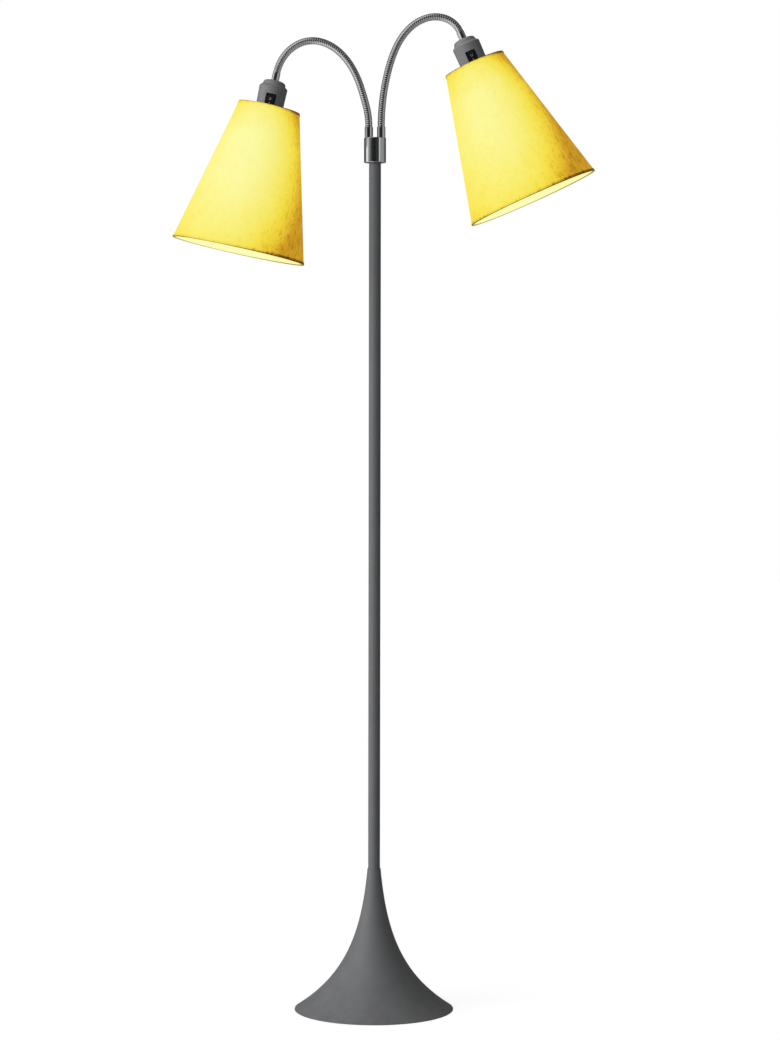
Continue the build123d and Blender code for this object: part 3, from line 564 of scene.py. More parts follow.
class Effects:
    """Node groups that several finishes share; each is built the first time it is asked for."""

    built: dict[str, bpy.types.NodeTree] = {}

    @classmethod
    def group(cls, name: str, values: dict[str, float], outputs: Sequence[str],
              fill: Callable[[Sheet, bpy.types.NodeOutputs], list[Feed]]) -> bpy.types.NodeTree:
        """A group with named sockets, whose first input is a Vector.

        Args:
            name: Name of the group.
            values: Default of each other input by name.
            outputs: Names of its outputs, all values.
            fill: Lays the nodes between the inputs and what it returns for the outputs.

        Returns:
            The group.
        """
        if name not in cls.built:
            tree = bpy.data.node_groups.new(name, "ShaderNodeTree")
            tree.interface.new_socket("Vector", in_out="INPUT", socket_type="NodeSocketVector")
            for key, default in values.items():
                socket = tree.interface.new_socket(key, in_out="INPUT",
                                                   socket_type="NodeSocketFloat")
                socket.default_value = default
            for key in outputs:
                tree.interface.new_socket(key, in_out="OUTPUT", socket_type="NodeSocketFloat")
            sheet = Sheet(tree)
            results = fill(sheet, sheet.add("NodeGroupInput").outputs)
            sheet.add("NodeGroupOutput", dict(enumerate(results)))
            cls.built[name] = tree
        return cls.built[name]

    @classmethod
    def unevenness(cls) -> bpy.types.NodeTree:
        """Soft clouds between two values, as handling and polish leave in a gloss.

        Returns:
            A group with the inputs Vector, Scale, Low and High and the output Value.
        """
        def fill(sheet: Sheet, into: bpy.types.NodeOutputs) -> list[Feed]:
            """Noise, carried from its middle range to the two values."""
            cloud = sheet.add("TexNoise", {"Vector": into["Vector"], "Scale": into["Scale"],
                                           "Detail": 4.0, "Roughness": 0.6})
            return [sheet.remap(cloud.outputs[0], 0.3, 0.7, into["Low"], into["High"])]

        return cls.group("unevenness", {"Scale": 30.0, "Low": 0.0, "High": 1.0}, ["Value"], fill)

    @classmethod
    def grain(cls) -> bpy.types.NodeTree:
        """Fine pits of sprayed paint, moulded plastic, castings and felt.

        Returns:
            A group with the inputs Vector, Scale and Bite and the output Height.
        """
        def fill(sheet: Sheet, into: bpy.types.NodeOutputs) -> list[Feed]:
            """Noise turned into the distance between cells by the bite."""
            spot = {"Vector": into["Vector"], "Scale": into["Scale"]}
            fine = sheet.add("TexNoise", {**spot, "Detail": 2.0})
            cells = sheet.add("TexVoronoi", spot)
            return [sheet.blend(into["Bite"], fine.outputs[0], cells.outputs["Distance"])]

        return cls.group("grain", {"Scale": 900.0, "Bite": 0.5}, ["Height"], fill)

    @classmethod
    def hairlines(cls) -> bpy.types.NodeTree:
        """Long fine scores from drawing, turning or wiping: noise stretched along one way.

        Returns:
            A group with the inputs Vector, already stretched, Scale and Depth and the outputs
            Height and Mask.
        """
        def fill(sheet: Sheet, into: bpy.types.NodeOutputs) -> list[Feed]:
            """Noise times the depth, and its upper range as the mask."""
            lines = sheet.add("TexNoise", {"Vector": into["Vector"], "Scale": into["Scale"],
                                           "Detail": 5.0, "Roughness": 0.75})
            height = sheet.sum("MULTIPLY", lines.outputs[0], into["Depth"])
            return [height, sheet.remap(lines.outputs[0], 0.52, 0.68)]

        return cls.group("hairlines", {"Scale": 400.0, "Depth": 1.0}, ["Height", "Mask"], fill)

    @classmethod
    def settled_dust(cls) -> bpy.types.NodeTree:
        """Thin dust on what faces up, thicker where a cloud lets it.

        Returns:
            A group with the inputs Vector, Scale and Amount and the output Mask.
        """
        def fill(sheet: Sheet, into: bpy.types.NodeOutputs) -> list[Feed]:
            """The normal's height times a cloud times the amount."""
            facing_up = sheet.add("SeparateXYZ", {0: sheet.add("NewGeometry").outputs["Normal"]})
            up = sheet.remap(facing_up.outputs["Z"], 0.2, 0.95)
            cloud = sheet.add("TexNoise", {"Vector": into["Vector"], "Scale": into["Scale"],
                                           "Detail": 6.0})
            thick = sheet.remap(cloud.outputs[0], 0.35, 0.75)
            return [sheet.sum("MULTIPLY", sheet.sum("MULTIPLY", up, thick), into["Amount"])]

        return cls.group("settled_dust", {"Scale": 25.0, "Amount": 0.2}, ["Mask"], fill)

    @classmethod
    def paper_fibres(cls) -> bpy.types.NodeTree:
        """Short crooked fibres and creases pressed into hand-made paper.

        A line is drawn wherever a stretched noise crosses its middle value, and a second,
        coarser noise leaves only short stretches of it.

        Returns:
            A group with the inputs Vector, Scale, Width and Cover and the output Mask.
        """
        def fill(sheet: Sheet, into: bpy.types.NodeOutputs) -> list[Feed]:
            """One less how far the noise is from its middle in widths, times the stretches."""
            vector, scale = into["Vector"], into["Scale"]
            bends = sheet.add("TexNoise", {"Vector": vector, "Scale": scale, "Detail": 2.5,
                                           "Roughness": 0.55, "Distortion": 0.6})
            off = sheet.sum("ABSOLUTE", sheet.sum("SUBTRACT", bends.outputs[0], 0.5))
            line = sheet.sum("SUBTRACT", 1.0, sheet.sum(
                "MINIMUM", sheet.sum("DIVIDE", off, into["Width"]), 1.0))
            broken = sheet.add("TexNoise", {"Vector": vector, "Scale": sheet.sum(
                "MULTIPLY", scale, 1.7), "Detail": 3.0})
            kept = sheet.sum("SUBTRACT", broken.outputs[0], sheet.sum(
                "SUBTRACT", 1.0, into["Cover"]))
            return [sheet.sum("MULTIPLY", line, sheet.remap(kept, 0.0, 0.06))]

        return cls.group("paper_fibres", {"Scale": 60.0, "Width": 0.02, "Cover": 0.5}, ["Mask"],
                         fill)


@dataclass(frozen=True)
class Finish:
    """A surface finish: its name and how its material is laid out."""

    name: str

    def material(self) -> bpy.types.Material:
        """The finish's material, laid out the first time it is asked for.

        Its name has an ending of its own, as the frame has plain materials of the same names.

        Returns:
            The material.
        """
        name = f"{self.name}_finish"
        found = bpy.data.materials.get(name)
        if found is not None:
            return found
        material = bpy.data.materials.new(name)
        material.use_nodes = True
        sheet = Sheet(material.node_tree)
        shader = material.node_tree.nodes["Principled BSDF"]
        self.lay(sheet, shader)
        return material

    def lay(self, sheet: Sheet, shader: bpy.types.Node) -> None:
        """Fill the sheet; each kind of finish has its own way."""
        raise NotImplementedError

    @staticmethod
    def relief(sheet: Sheet, height: Socket, depth: float, strength: float) -> Socket:
        """Normal from a height of some depth in metres."""
        return sheet.add("Bump", {"Height": height, "Distance": depth,
                                  "Strength": strength}).outputs[0]

    @staticmethod
    def clouds(sheet: Sheet, spot: Socket, scale: float, low: float = 0.0,
               high: float = 1.0) -> Socket:
        """Soft clouds between two values."""
        return sheet.use(Effects.unevenness(), {"Vector": spot, "Scale": scale, "Low": low,
                                                "High": high}).outputs[0]

    @staticmethod
    def fibres(sheet: Sheet, spot: Socket, scale: float, width: float, cover: float) -> Socket:
        """Mask of short crooked fibres."""
        return sheet.use(Effects.paper_fibres(), {"Vector": spot, "Scale": scale, "Width": width,
                                                  "Cover": cover}).outputs[0]


@dataclass(frozen=True)
class Moulded(Finish):
    """Moulded plastic, ceramic or rubber: a fine grain, clouds of colour and a soft gloss."""

    colour: Colour = (110, 112, 114)
    spread: float = 0.95
    cloud_scale: float = 35.0
    gloss_low: float = 0.35
    gloss_high: float = 0.5
    gloss_scale: float = 120.0
    grain_scale: float = 1600.0
    grain_bite: float = 0.4
    grain_depth: float = 0.00003
    grain_strength: float = 0.6
    specular: float = 0.4
    dust: float = 0.1
    dust_scale: float = 90.0
    dust_colour: Colour = (170, 168, 162)

    def lay(self, sheet: Sheet, shader: bpy.types.Node) -> None:
        """Clouded colour with dust, an uneven gloss and a grain."""
        spot = sheet.place()
        clouds = self.clouds(sheet, spot, self.cloud_scale)
        colour = sheet.blend(clouds, linear(*self.colour), scaled(self.colour, self.spread))
        dust = sheet.use(Effects.settled_dust(), {"Vector": spot, "Scale": self.dust_scale,
                                                  "Amount": self.dust})
        colour = sheet.blend(dust.outputs[0], colour, linear(*self.dust_colour))
        gloss = self.clouds(sheet, spot, self.gloss_scale, self.gloss_low, self.gloss_high)
        grain = sheet.use(Effects.grain(), {"Vector": spot, "Scale": self.grain_scale,
                                            "Bite": self.grain_bite})
        sheet.feed(shader, {
            "Base Color": colour, "Roughness": gloss, "Specular IOR Level": self.specular,
            "Normal": self.relief(sheet, grain.outputs["Height"], self.grain_depth,
                                  self.grain_strength)})


@dataclass(frozen=True)
class Enamel(Moulded):
    """Sprayed semi-matt paint: fine orange peel, a slightly uneven gloss and a little dust."""

    colour: Colour = (124, 125, 127)
    spread: float = 0.965
    cloud_scale: float = 18.0
    gloss_low: float = 0.40
    gloss_high: float = 0.50
    gloss_scale: float = 55.0
    grain_scale: float = 900.0
    grain_bite: float = 0.15
    grain_depth: float = 0.00005
    grain_strength: float = 0.5
    specular: float = 0.35
    dust: float = 0.12
    dust_scale: float = 60.0
    dust_colour: Colour = (176, 174, 168)


@dataclass(frozen=True)
class Plating(Finish):
    """Polished or drawn metal: hairlines, an uneven gloss, and painted shade in its grooves."""

    colour: Colour = (228, 229, 231)
    worn: float = 0.93
    gloss_low: float = 0.08
    gloss_high: float = 0.13
    gloss_scale: float = 40.0
    stretch: tuple[float, float, float] = (1.0, 1.0, 0.06)
    line_scale: float = 700.0
    line_depth: float = 0.15
    relief_depth: float = 0.00002
    groove_shade_colour: Colour | None = None
    groove_rough: float = 0.45

    def lay(self, sheet: Sheet, shader: bpy.types.Node) -> None:
        """Metal colour darkened by hairlines and painted groove shade, with roughness clouds."""
        spot = sheet.place()
        lines = sheet.use(Effects.hairlines(), {"Vector": sheet.place(scale=self.stretch),
                                                "Scale": self.line_scale,
                                                "Depth": self.line_depth})
        colour = sheet.blend(lines.outputs["Mask"], linear(*self.colour),
                             scaled(self.colour, self.worn))
        rough = self.clouds(sheet, spot, self.gloss_scale, self.gloss_low, self.gloss_high)
        # Deep in a groove the colour turns darker: painted shade in the recess.
        if self.groove_shade_colour is not None:
            groove = sheet.attribute("groove")
            deep = sheet.remap(groove, 0.35, 0.95)
            colour = sheet.blend(deep, colour, linear(*self.groove_shade_colour))
            rough = sheet.remap(groove, 0.5, 1.0, rough, self.groove_rough)
        sheet.feed(shader, {
            "Base Color": colour, "Roughness": rough, "Metallic": 1.0,
            "Normal": self.relief(sheet, lines.outputs["Height"], self.relief_depth, 0.25)})


@dataclass(frozen=True)
class Felt(Finish):
    """Pressed wool: matted fibres of two tones with a soft sheen."""

    colour: Colour = (58, 60, 58)
    lighter: float = 1.45
    fibre_scale: float = 420.0
    fibre_width: float = 0.08
    cover: float = 0.7
    nap_scale: float = 1100.0
    nap_bite: float = 0.6
    nap_depth: float = 0.0004

    def lay(self, sheet: Sheet, shader: bpy.types.Node) -> None:
        """Fibre mask between two tones, matt, with deep fibre relief."""
        spot = sheet.place()
        fibres = self.fibres(sheet, spot, self.fibre_scale, self.fibre_width, self.cover)
        nap = sheet.use(Effects.grain(), {"Vector": spot, "Scale": self.nap_scale,
                                          "Bite": self.nap_bite})
        height = sheet.sum("ADD", nap.outputs["Height"], fibres)
        sheet.feed(shader, {
            "Base Color": sheet.blend(fibres, linear(*self.colour),
                                      scaled(self.colour, self.lighter)),
            "Roughness": 0.95, "Sheen Weight": 0.3, "Specular IOR Level": 0.1,
            "Normal": self.relief(sheet, height, self.nap_depth, 0.8)})


@dataclass(frozen=True)
class OpalGlass(Finish):
    """Lit opal glass: a bright even glow with the faintest clouding, under a clear gloss."""

    glow: Colour = (255, 250, 226)
    cloudy: Colour = (252, 243, 208)
    glass: Colour = (236, 234, 226)
    cloud_scale: float = 60.0

    def lay(self, sheet: Sheet, shader: bpy.types.Node) -> None:
        """Glow colour that dims a little in clouds."""
        clouds = self.clouds(sheet, sheet.place(), self.cloud_scale)
        sheet.feed(shader, {
            "Base Color": linear(*self.glass), "Roughness": 0.12, "Coat Weight": 0.4,
            "Emission Color": sheet.blend(clouds, linear(*self.glow), linear(*self.cloudy)),
            "Emission Strength": 0.9})


@dataclass(frozen=True)
class LitPaper(Finish):
    """Yellow hand-made paper with the lamp behind it.

    The piece carries how brightly each point is lit, 0 to 1, and a ramp of tones measured on
    such paper turns it into the glow, which is painted light of the bulb and the room. Fibres and
    creases stand dark and pressed in, darker where the paper is less lit, which is painted shade.
    """

    tones: Tones = (
        (0.0, 176, 122, 19), (0.15, 209, 161, 33), (0.3, 232, 201, 50), (0.45, 241, 222, 72),
        (0.6, 243, 231, 102), (0.8, 245, 239, 136), (1.0, 246, 246, 164))
    fibre_shade: float = 0.11
    cloud: float = 0.025
    cloud_scale: float = 34.0
    pulp_share: float = 0.6
    pulp_scale: float = 260.0
    body: Linear = (0.08, 0.055, 0.012, 1.0)
    rim_shadow: float = 0.6
    cover: float = 0.52
    fibre_scale: float = 75.0
    fibre_width: float = 0.05
    hair_scale: float = 130.0
    hair_width: float = 0.07
    crease_depth: float = 0.0003

    def lay(self, sheet: Sheet, shader: bpy.types.Node) -> None:
        """Ramp over the lit value less fibres and clouds; creases as relief."""
        fibres = self.fibres(sheet, sheet.place("UV", (1.0, 0.42, 1.0)), self.fibre_scale,
                             self.fibre_width, self.cover)
        hairs = self.fibres(sheet, sheet.place("UV", (1.0, 0.45, 1.0)), self.hair_scale,
                            self.hair_width, self.cover - 0.03)
        flat, fine = sheet.place("UV"), self.pulp_share * self.cloud
        clouds = self.clouds(sheet, flat, self.cloud_scale, -self.cloud, self.cloud)
        pulp = self.clouds(sheet, flat, self.pulp_scale, -fine, fine)
        marks = sheet.sum("ADD", sheet.sum("MULTIPLY", fibres, 0.7), hairs)
        lit = sheet.attribute("lit")
        dimmer = sheet.sum("SUBTRACT", 1.25, lit)
        # Marks deepen where the paper is dim: real fibres, plus painted shade on the dim side.
        shaded = sheet.sum("MULTIPLY", sheet.sum("MULTIPLY", marks, self.fibre_shade), dimmer)
        level = sheet.sum("ADD", sheet.sum("ADD", clouds, pulp), lit)
        level = sheet.sum("SUBTRACT", level, shaded)
        # Painted shade along the rims, where the wire and the fold hold back the bulb's light.
        edge = sheet.sum("MULTIPLY", sheet.sum("MULTIPLY", sheet.attribute("rim"),
                                               self.rim_shadow), dimmer)
        glow = sheet.ramp(sheet.sum("SUBTRACT", level, edge),
                          [(place, linear(*tone)) for place, *tone in self.tones])
        height = sheet.sum("ADD", sheet.sum("MULTIPLY", marks, -1.0),
                           sheet.sum("MULTIPLY", pulp, 6.0))
        sheet.feed(shader, {
            "Base Color": sheet.blend(marks, self.body, tuple(0.6 * c for c in self.body)),
            "Roughness": 0.78, "Specular IOR Level": 0.25,
            "Emission Color": glow, "Emission Strength": 1.0,
            "Normal": self.relief(sheet, height, self.crease_depth, 0.7)})


GREY_PAINT = Enamel("grey_enamel")
CHROME = Plating("polished_chrome")
HOSE_CHROME = Plating("hose_chrome", gloss_low=0.1, gloss_high=0.16,
                      groove_shade_colour=(52, 52, 54), line_depth=0.05)
ZINC = Plating("zinc_steel", colour=(176, 178, 180), gloss_low=0.28, gloss_high=0.4,
               line_scale=900.0, line_depth=0.5)
NICKEL = Plating("nickel_cap", colour=(198, 192, 178), gloss_low=0.16, gloss_high=0.24,
                 groove_shade_colour=(120, 114, 100))
BRASS = Plating("brass", colour=(208, 172, 96), gloss_low=0.2, gloss_high=0.3)
BLACK_STEEL = Plating("blacked_steel", colour=(46, 46, 48), gloss_low=0.3, gloss_high=0.42)
IRON = Moulded("cast_iron", colour=(70, 70, 72), spread=0.7, gloss_low=0.55, gloss_high=0.75,
               grain_scale=420.0, grain_depth=0.0003)
FELT = Felt("black_felt")
RUBBER = Moulded("black_rubber", colour=(34, 34, 35), gloss_low=0.5, gloss_high=0.65)
WHITE_PLASTIC = Moulded("white_plastic", colour=(214, 213, 206), gloss_low=0.3, gloss_high=0.4)
GREY_PLASTIC = Moulded("grey_plastic", colour=(142, 142, 144), gloss_low=0.36, gloss_high=0.5)
BLACK_PLASTIC = Moulded("black_plastic", colour=(24, 24, 25), gloss_low=0.22, gloss_high=0.34,
                        specular=0.45, dust=0.03)
MARK_PRINT = Moulded("mark_print", colour=(196, 196, 192), gloss_low=0.5, gloss_high=0.6)
CERAMIC = Moulded("ceramic", colour=(226, 222, 210), gloss_low=0.12, gloss_high=0.2,
                  grain_scale=500.0)
OPAL = OpalGlass("opal_glass")
# Painted light: the inside glows paler, facing the bulb; the strips darker, over fold and wire.
PAPER_OUT = LitPaper("paper_outside")
PAPER_IN = LitPaper("paper_inside", tones=(
    (0.0, 150, 148, 72), (0.15, 226, 216, 128), (0.3, 246, 240, 158), (0.5, 250, 247, 170),
    (0.75, 252, 250, 180), (1.0, 252, 251, 190)), fibre_shade=0.08, cover=0.5, rim_shadow=1.8)
PAPER_BAND = LitPaper("paper_band", tones=(
    (0.0, 78, 50, 8), (0.15, 142, 96, 18), (0.3, 208, 168, 38), (0.45, 233, 211, 62),
    (0.6, 238, 224, 90), (0.8, 242, 234, 124), (1.0, 244, 243, 154)), fibre_shade=0.2)


# ---- placing on the frame ------------------------------------------------------------------
def laid(name: str, skin: Skin, finishes: Sequence[Finish], body: str, slot: str, *nodes: str,
         cutters: Sequence[Skin] = ()) -> bpy.types.Object:
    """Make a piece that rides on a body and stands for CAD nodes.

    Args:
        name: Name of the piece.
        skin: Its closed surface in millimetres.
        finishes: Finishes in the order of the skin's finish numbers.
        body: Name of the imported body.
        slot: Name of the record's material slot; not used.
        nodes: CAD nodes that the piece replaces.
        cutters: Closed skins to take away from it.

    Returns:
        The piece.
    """
    piece = mesh_piece(name, skin, finishes)
    if cutters:
        cut_away(piece, cutters)
    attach(piece, body)
    if nodes:
        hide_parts(*nodes)
    return piece


def keep_to_camera(*pieces: bpy.types.Object) -> None:
    """Let the lit pieces show, and cast shadows, but neither tint nor mirror in the others."""
    for piece in pieces:
        piece.visible_diffuse = piece.visible_glossy = False


def dress(node: str, finish: Finish) -> None:
    """Give a carried-over CAD node its finish."""
    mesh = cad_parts[node].data
    mesh.materials.clear()
    mesh.materials.append(finish.material())
    log.info("%s: %s", node, finish.name)


# ---- foot and pole -------------------------------------------------------------------------
@dataclass
class TrumpetFoot:
    """Thin painted trumpet on a felt disc, with the cord's bush in the back of its rim."""

    rim_r: float = 120.0
    height: float = 214.0
    neck_r: float = 10.0
    core_r: float = 3.0
    lip_z: float = 1.6
    lift: float = 0.6
    wall: float = 1.6
    neck_bore: float = 9.05
    inlet_z: float = 5.2
    bush_r: float = 4.3
    bush_bore: float = 3.2
    bush_start: float = 102.5
    bush_proud: float = 1.2
    flange: float = 1.2
    felt_t: float = 2.0
    felt_r: float = 114.2
    crowding: float = 1.5
    inner_lift: float = 1.5
    brim: float = 0.2
    bore_h: float = 34.0
    arch_below: float = 6.0
    arch_in: float = 17.5
    arch_out: float = 20.0
    notch_w: float = 12.0
    notch_in: float = 93.75
    notch_out: float = 130.0

    def fall(self) -> float:
        """Height over which the radius above the core falls by a factor e."""
        return (self.height - self.lip_z) / math.log(
            (self.rim_r - self.core_r) / (self.neck_r - self.core_r))

    def radius(self, z: np.ndarray) -> np.ndarray:
        """Trumpet radius at each height: it falls exponentially towards a thin core."""
        return self.core_r + (self.rim_r - self.core_r) * np.exp(-(z - self.lip_z) / self.fall())

    def side(self, inset: float, z_low: float, z_high: float, rows: int) -> np.ndarray:
        """Profile inside the trumpet's by an inset along its normal.

        Args:
            inset: Distance along the normal.
            z_low: Height of the trumpet's own point for the lowest row.
            z_high: Height of its point for the highest row.
            rows: Rows, which crowd towards the foot where it turns most.

        Returns:
            Radius and height of each row, from the top down.
        """
        z = z_low + (z_high - z_low) * np.linspace(1.0, 0.0, rows) ** self.crowding
        slope = (self.radius(z) - self.core_r) / self.fall()
        size = np.sqrt(1.0 + slope**2)
        return np.stack([self.radius(z) - inset / size, z - inset * slope / size], -1)

    def shell(self) -> Skin:
        """Outside down to an upright rim edge, under it, and the inside up to the pole."""
        outer = self.side(0.0, self.lip_z, self.height, 64)
        inner = self.side(self.wall, self.lip_z + self.inner_lift, self.height - self.bore_h, 40)
        inner = inner[(inner[:, 0] > self.neck_bore) & (inner[:, 1] > self.lift + self.brim)]
        rim = softened(np.array([outer[-2], outer[-1], (self.rim_r, self.lift),
                                 (inner[-1][0], self.lift), inner[-1]]),
                       [0, 0.5, 0.3, 0, 0], closed=False)
        neck = softened(np.array([inner[0], (self.neck_bore, inner[0][1]),
                                  (self.neck_bore, self.height), outer[0], outer[1]]),
                        [0, 0, 0.1, 0.35, 0], closed=False)
        profile = np.vstack([outer[2:-2], rim, inner[::-1][1:-1], neck[:-1]])
        return lathe(profile, Ends.JOINED, 192)

    def arch(self) -> Skin:
        """Solid that cuts the arched cord inlet through the back of the rim."""
        r, z, low = self.bush_r + PLAY, self.inlet_z, -self.arch_below
        bow = np.linspace(0.0, math.pi, 33)
        loop = np.vstack([np.stack([r * np.cos(bow), z + r * np.sin(bow)], -1),
                          [[-r, low], [r, low]]])
        return tunnel(loop, self.rim_r - self.arch_in, self.rim_r + self.arch_out)

    def bush(self) -> Skin:
        """Cord bush: a tube with an inner flange, its outer end cut to the trumpet's slope.

        The end's depth at each point is a plane's: y + slope z is the same all over it.
        """
        angle = angles(64)
        slope = (self.radius(self.inlet_z) - self.core_r) / self.fall()
        reach = (self.radius(self.inlet_z) + slope * self.inlet_z
                 + self.bush_proud * math.sqrt(1.0 + slope**2))
        start, lip = self.bush_start, self.bush_start + self.flange
        rows = np.array([
            (self.bush_bore, start), (self.bush_r + self.flange, start),
            (self.bush_r + self.flange, lip), (self.bush_r, lip), (self.bush_r, -0.35),
            (self.bush_r - 0.12, -0.12), (self.bush_r - 0.35, 0.0),
            (self.bush_bore + 0.35, 0.0), (self.bush_bore + 0.1, -0.12), (self.bush_bore, -0.4)])
        r, y = rows[:, 0, None], rows[:, 1, None]
        z = self.inlet_z + r * np.sin(angle)
        depth = np.where(y > 1.0, y, reach - slope * z + y)
        return woven(np.stack([r * np.cos(angle), depth, z], -1), Ends.JOINED)

    def felt(self) -> Skin:
        """Felt disc with slightly rounded edges."""
        profile = softened(np.array([(AXIS_R, 0.0), (self.felt_r, 0.0),
                                     (self.felt_r, self.felt_t), (AXIS_R, self.felt_t)]),
                           [0, 0.5, 0.4, 0], closed=False)
        return lathe(profile, Ends.CLOSED, 144)

    def build(self) -> None:
        """Make the shell, the bush and the felt, and dress the castings inside."""
        notch = box_loop(self.notch_w, self.notch_w, 0.3)
        laid("trumpet_shell", self.shell(), [GREY_PAINT], "stand", "grey_paint", "base_shell",
             cutters=[self.arch()])
        laid("inlet_bush", self.bush(), [RUBBER], "stand", "black_rubber", "cord_grommet")
        laid("felt_disc", self.felt(), [FELT], "stand", "felt", "felt_pad",
             cutters=[tunnel(notch, self.notch_in, self.notch_out)])
        dress("base_weight", IRON)
        dress("base_plate", ZINC)
        dress("terminal_block", WHITE_PLASTIC)
        for node in ("pole_bolt", "pole_washer", "pole_plug"):
            dress(node, ZINC)


@dataclass
class Pole:
    """Painted steel tube from the foot's boss into the coupler."""

    radius: float = 9.0
    wall: float = 1.2
    foot_z: float = 24.2
    top_z: float = 1289.0
    rows: int = 33

    def tube(self) -> Skin:
        """Closed wall between two radii, with a row every 40 mm."""
        z = np.linspace(self.foot_z, self.top_z, self.rows)
        bore = self.radius - self.wall
        outer = np.stack([np.full_like(z, self.radius), z], -1)
        inner = np.stack([np.full_like(z, bore), z[::-1]], -1)
        return lathe(np.vstack([outer, inner]), Ends.JOINED, 80)

    def build(self) -> None:
        """Make the tube and dress the leads that run through it."""
        laid("pole_tube", self.tube(), [GREY_PAINT], "stand", "grey_paint", "pole")
        dress("pole_leads", RUBBER)


# ---- coupler and goosenecks ----------------------------------------------------------------
class Side(Enum):
    """The two arms, with what differs between them."""

    LEFT = (-1, (14.4, 4.0, 11.5, 17.8, 26.0, 36.8, 31.5), 12.2, 0.99)
    RIGHT = (1, (4.8, 5.4, 5.5, 9.4, 18.2, 27.1, 37.8), 24.0, 0.90)

    def __init__(self, sign: int, bends: tuple[float, ...], tilt: float,
                 bulb_light: float) -> None:
        """Name the values.

        Args:
            sign: Sign of X.
            bends: Turn of each link but the last, in degrees.
            tilt: Head's lean off the vertical, in degrees.
            bulb_light: How brightly the bulb lights the paper where it is nearest.
        """
        self.sign, self.bends, self.tilt, self.bulb_light = sign, bends, tilt, bulb_light

    @property
    def label(self) -> str:
        """Name used in pieces and bodies."""
        return self.name.lower()

    def bodies(self) -> list[str]:
        """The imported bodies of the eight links, from the stand to the head."""
        links = (f"{self.label}_link_{i}" for i in range(2, LINKS))
        return ["stand", *links, f"{self.label}_head"]


@dataclass
class Coupler:
    """Chromed round block with a plain ferrule for each gooseneck in its top."""

    radius: float = 16.5
    foot_z: float = 1277.0
    height: float = 37.0
    edge: float = 0.7
    pole_r: float = 9.05
    pole_depth: float = 12.0
    arm_x: float = 9.3
    ferrule_r: float = 6.3
    ferrule_in: float = 15.0
    ferrule_top: float = 1330.6
    ferrule_edge: float = 0.8
    hose_r: float = 5.05
    hose_depth: float = 12.0
    lead_r: float = 3.1
    grub_r: float = 2.05
    grub_reach: float = 30.0
    overrun: float = 5.0

    def body(self) -> Skin:
        """Turned block, closed above and below, with rounded edges."""
        top = self.foot_z + self.height
        profile = softened(np.array([(AXIS_R, self.foot_z), (self.radius, self.foot_z),
                                     (self.radius, top), (AXIS_R, top)]),
                           [0, self.edge, self.edge, 0], closed=False)
        return lathe(profile, Ends.CLOSED, 128)

    def bores(self) -> list[Skin]:
        """Cutters for the pole, the two ferrules and the three set screws."""
        top = self.foot_z + self.height
        cutters = [bar(UP * (self.foot_z - self.overrun), UP * (self.foot_z + self.pole_depth),
                       self.pole_r, 96)]
        grubs = [np.array([0.0, self.pole_r, self.foot_z + self.pole_depth / 2])]
        for side in Side:
            axis = np.array([side.sign * self.arm_x, 0.0, 0.0])
            cutters.append(bar(axis + UP * (top - self.ferrule_in),
                               axis + UP * (top + self.overrun), self.ferrule_r + PLAY, 80))
            grubs.append(axis + np.array([0.0, self.ferrule_r, top - self.ferrule_in / 2]))
        outwards = np.array([0.0, self.grub_reach, 0.0])
        return cutters + [bar(grub, grub + outwards, self.grub_r, 32) for grub in grubs]

    def ferrule(self, side: Side) -> Skin:
        """Plain sleeve with rounded outer and inner edges at its mouth."""
        foot = self.foot_z + self.height - self.ferrule_in
        top, stop = self.ferrule_top, self.ferrule_top - self.hose_depth
        profile = softened(
            np.array([(self.lead_r, foot), (self.ferrule_r, foot), (self.ferrule_r, top),
                      (self.hose_r, top), (self.hose_r, stop), (self.lead_r, stop)]),
            [0, self.ferrule_edge, self.ferrule_edge, 0.3, 0, 0], closed=True)
        return Place(x=side.sign * self.arm_x).placed(lathe(profile, Ends.JOINED, 80))

    def build(self) -> None:
        """Make the block and its ferrules, and dress the set screws."""
        laid("coupler_block", self.body(), [CHROME], "stand", "chrome", "coupler",
             cutters=self.bores())
        laid("coupler_ferrules", gathered(*(self.ferrule(side) for side in Side)), [CHROME],
             "stand", "chrome", "lower_ferrules")
        dress("grub_screws", BLACK_STEEL)


